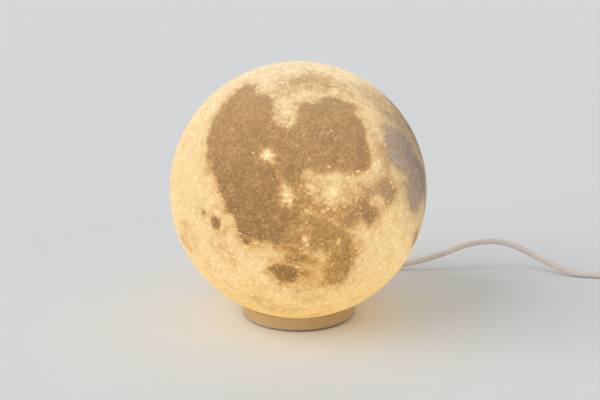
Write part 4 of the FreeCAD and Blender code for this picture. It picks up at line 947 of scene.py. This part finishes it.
def make_globe():
    """Hollow ball with its relief, and the map's values on its points."""
    rng = np.random.default_rng(RELIEF_SEED)
    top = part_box("moon_globe")[1].z
    centre = np.array([0.0, 0.0, top - GLOBE_RADIUS])
    inner_radius = GLOBE_RADIUS - GLOBE_WALL
    pole = [[0, 0, 1]]
    outer_ways = np.vstack([pole, globe_rings(GLOBE_RADIUS, OUTER_ROWS, from_top=True)])
    inner_ways = np.vstack([globe_rings(inner_radius, INNER_ROWS, from_top=False), pole])
    deepest, dark, grey, soft = sea_fields(outer_ways)
    bright = bright_field(outer_ways, rng)
    relief = relief_field(outer_ways, deepest, dark, rng)
    relief += crater_field(outer_ways) / RELIEF_DEPTH
    reach = np.hypot(outer_ways[:, 0], outer_ways[:, 1]) * GLOBE_RADIUS
    below = outer_ways[:, 2] < 0
    keep = np.where(below, np.clip((reach - SEAT_RADIUS) / SEAT_BLEND, 0, 1), 1.0)
    sink = np.clip(deepest / 2 + 0.5, 0, 1) * dark
    radii = GLOBE_RADIUS + keep * (relief * RELIEF_DEPTH - sink * SEA_DROP)
    points = np.vstack([outer_ways * radii[:, None], inner_ways * inner_radius]) + centre
    faces = globe_faces()
    piece = add_mesh("globe_shell", points.tolist(), faces, globe_finish())
    mesh = piece.data
    mesh.materials.append(globe_inside_finish())
    outer_quads = (OUTER_ROWS - 1) * GLOBE_COLUMNS
    quads = (OUTER_ROWS + INNER_ROWS - 1) * GLOBE_COLUMNS
    inside = np.zeros(len(faces), int)
    inside[outer_quads:quads] = 1
    inside[quads + 1::2] = 1
    mesh.polygons.foreach_set("material_index", inside)
    # How deep each point lies in the painted shade of the upper right side.
    side = np.array(DIM_SIDE) / np.linalg.norm(DIM_SIDE)
    dim = np.clip((outer_ways @ side - DIM_FROM) / (DIM_FULL - DIM_FROM), 0, 1) ** DIM_CURVE
    # Relief for the painted shade and light, left out under bright craters.
    shown = relief * keep * (1 - np.clip(bright, 0, 1))
    fields = {"depth": deepest, "dark": dark, "grey": grey, "soft": soft, "bright": bright,
              "relief": shown, "dim": dim}
    spare = np.zeros(len(inner_ways))
    for name, values in fields.items():
        attribute = mesh.attributes.new(name, "FLOAT", "POINT")
        attribute.data.foreach_set("value", np.concatenate([values, spare]))
    mesh.set_sharp_from_angle(angle=math.radians(SHARP_EDGE))
    mesh.update()
    return piece


globe = make_globe()
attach(globe, "globe")
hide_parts("moon_globe")


# ---- other finishes ----
def board_finish(name, lacquer, copper):
    """Lacquered board with faint raised tracks and small pads."""
    finish = Finish(name, Coat_Weight=0.3, Coat_Roughness=0.2)
    tracks = finish.cells(330, "DISTANCE_TO_EDGE", randomness=0.35).outputs["Distance"]
    track = finish.scaled(tracks, 0.05, 0.09)
    pads = finish.cells(300, randomness=0.2).outputs["Distance"]
    pads = finish.scaled(pads, 0.14, 0.17, 1.0, 0.0)
    tone = finish.mix(pads, finish.mix(track, copper, lacquer), colour(196, 190, 170))
    faded = finish.mix(0.5, tone, lacquer)
    finish.link("Base Color", finish.mix(finish.noise(90, 3), tone, faded))
    finish.link("Roughness", finish.clouds(500, 0.28, 0.42))
    finish.bump(finish.math("ADD", track, pads), 0.00004)
    return finish.material


def light_package_finish():
    """White case with a yellow phosphor window in the middle of each package."""
    finish = Finish("light_package", Roughness=0.4, Emission_Strength=0.5)
    level = finish.math("SUBTRACT", finish.coordinate("Z"), WINDOW_LEVEL)
    level = finish.math("ABSOLUTE", level)
    window = finish.scaled(level, 0.00002, 0.00006, 1.0, 0.0)
    grain = finish.noise(2600, 3)
    case = finish.mix(grain, colour(232, 230, 222), colour(246, 245, 240))
    phosphor = finish.mix(grain, colour(236, 196, 84), colour(250, 222, 120))
    tone = finish.mix(window, case, phosphor)
    finish.link("Base Color", tone)
    finish.link("Emission Color", tone)
    finish.bump(grain, 0.00003)
    return finish.material


def dome_finish():
    """Frosted cap lit from below."""
    finish = Finish("frosted_cap", Roughness=0.55, Emission_Strength=0.62)
    height = finish.scaled(finish.coordinate("Z"), 0.017, 0.044, smooth=False)
    tone = finish.ramp(height, [(0.0, 255, 236, 196), (0.6, 255, 240, 206), (1.0, 250, 226, 182)])
    tone = finish.mix(finish.clouds(140, 0.0, 0.25, 4), tone, colour(238, 210, 164))
    finish.link("Base Color", finish.tinted(tone, (0.35, 0.35, 0.35, 1)))
    finish.link("Emission Color", tone)
    finish.bump(finish.noise(2200, 3, 0.7), 0.00006)
    return finish.material


def base_finish():
    """Satin cream base with fine moulding grain, a touch darker in broad clouds."""
    finish = Finish("base_satin", Specular_IOR_Level=0.42)
    tone = colour(203, 170, 121)
    finish.shades(finish.clouds(46, detail=4), tone, 0.92, 1.02)
    finish.link("Roughness", finish.clouds(240, 0.40, 0.52))
    broad_grain = finish.times(finish.noise(700, 2), 0.4)
    finish.bump(finish.times_plus(finish.noise(3400, 2, 0.6), 0.6, broad_grain), 0.00004)
    return finish.material


def rubber(name, tone, roughness=0.75):
    """Matt rubber or ferrite, speckled all over."""
    finish = Finish(name)
    specks = finish.noise(1800, 4, 0.7)
    finish.shades(specks, tone, 0.75, 1.2)
    finish.link("Roughness", finish.scaled(specks, 0.3, 0.7, roughness - 0.08, roughness + 0.10))
    finish.bump(specks, 0.00006)
    return finish.material


dress(["base_housing", "base_cover", "globe_collar"], base_finish())
dress(["glide_ring"], rubber("seal_rubber", colour(196, 192, 178)))
dress(["foot_ring"], rubber("foot_rubber", colour(70, 68, 66)))
dress(["led_board"], board_finish("light_board", colour(238, 238, 232), colour(222, 222, 214)))
dress(["driver_board"], board_finish("driver_board", colour(34, 110, 66), colour(52, 134, 84)))
dress(["diffuser_dome"], dome_finish())
dress(["driver_capacitor"], metal("capacitor_can", (0.62, 0.63, 0.66), 0.32, (90, 90, 4000)))
dress(["driver_choke"], rubber("ferrite", colour(58, 58, 62), 0.5))
dress(["driver_chip"], plastic("chip_resin", colour(38, 38, 40), 0.5, 0.00005))
dress(["wire_terminal"], plastic("nylon", colour(240, 238, 228), 0.38))
dress(["cord_entry"], jacket)
dress(["cord_grommet"], plastic("grommet", colour(222, 210, 196), 0.5, 0.00003))
dress(["switch_top", "switch_bottom"], plastic("switch_shell", colour(228, 219, 206), 0.42,
                                               0.00004, 2200))
dress(["switch_rocker"], plastic("switch_key", colour(236, 228, 216), 0.30, 0.00001))
dress(["plug_overmould"], plastic("plug_moulding", colour(224, 214, 202), 0.48, 0.00004, 2400))
dress(["plug_shell"], metal("plug_sleeve", (0.72, 0.71, 0.69), 0.24, (300, 6000, 300)))
dress(["plug_tongue"], plastic("plug_insulator", colour(240, 240, 236), 0.35))
dress(["plug_contacts", "switch_contact_1", "switch_contact_2"],
      metal("gilt_contact", (0.83, 0.62, 0.27), 0.28, (400, 4000, 400)))
dress(["rocker_pin", "cover_screw_1", "cover_screw_2", "cover_screw_3", "board_screw_1",
       "board_screw_2", "switch_screw_1", "switch_screw_2"],
      metal("zinc_steel", (0.55, 0.56, 0.58), 0.36, (2600, 2600, 300)))
dress(["led_%d" % number for number in range(1, LIGHT_PACKAGES + 1)], light_package_finish())
dress(["supply_wire_1", "led_wire_1"], plastic("wire_red", colour(176, 42, 34), 0.4))
dress(["supply_wire_2", "led_wire_2"], plastic("wire_black", colour(34, 34, 36), 0.4))


# ---- floor ----
def make_floor():
    """Plain pale floor."""
    finish = Finish("floor", Roughness=0.85, Specular_IOR_Level=0.1)
    finish.link("Base Color", finish.mix(finish.clouds(900), (0.765, 0.78, 0.785, 1),
                                         (0.785, 0.80, 0.805, 1)))
    corners = [(x * FLOOR_HALF, y * FLOOR_HALF, 0) for x, y in ((-1, -1), (1, -1), (1, 1), (-1, 1))]
    floor = add_mesh("floor", corners, [(0, 1, 2, 3)], finish.material, smooth=False)


make_floor()
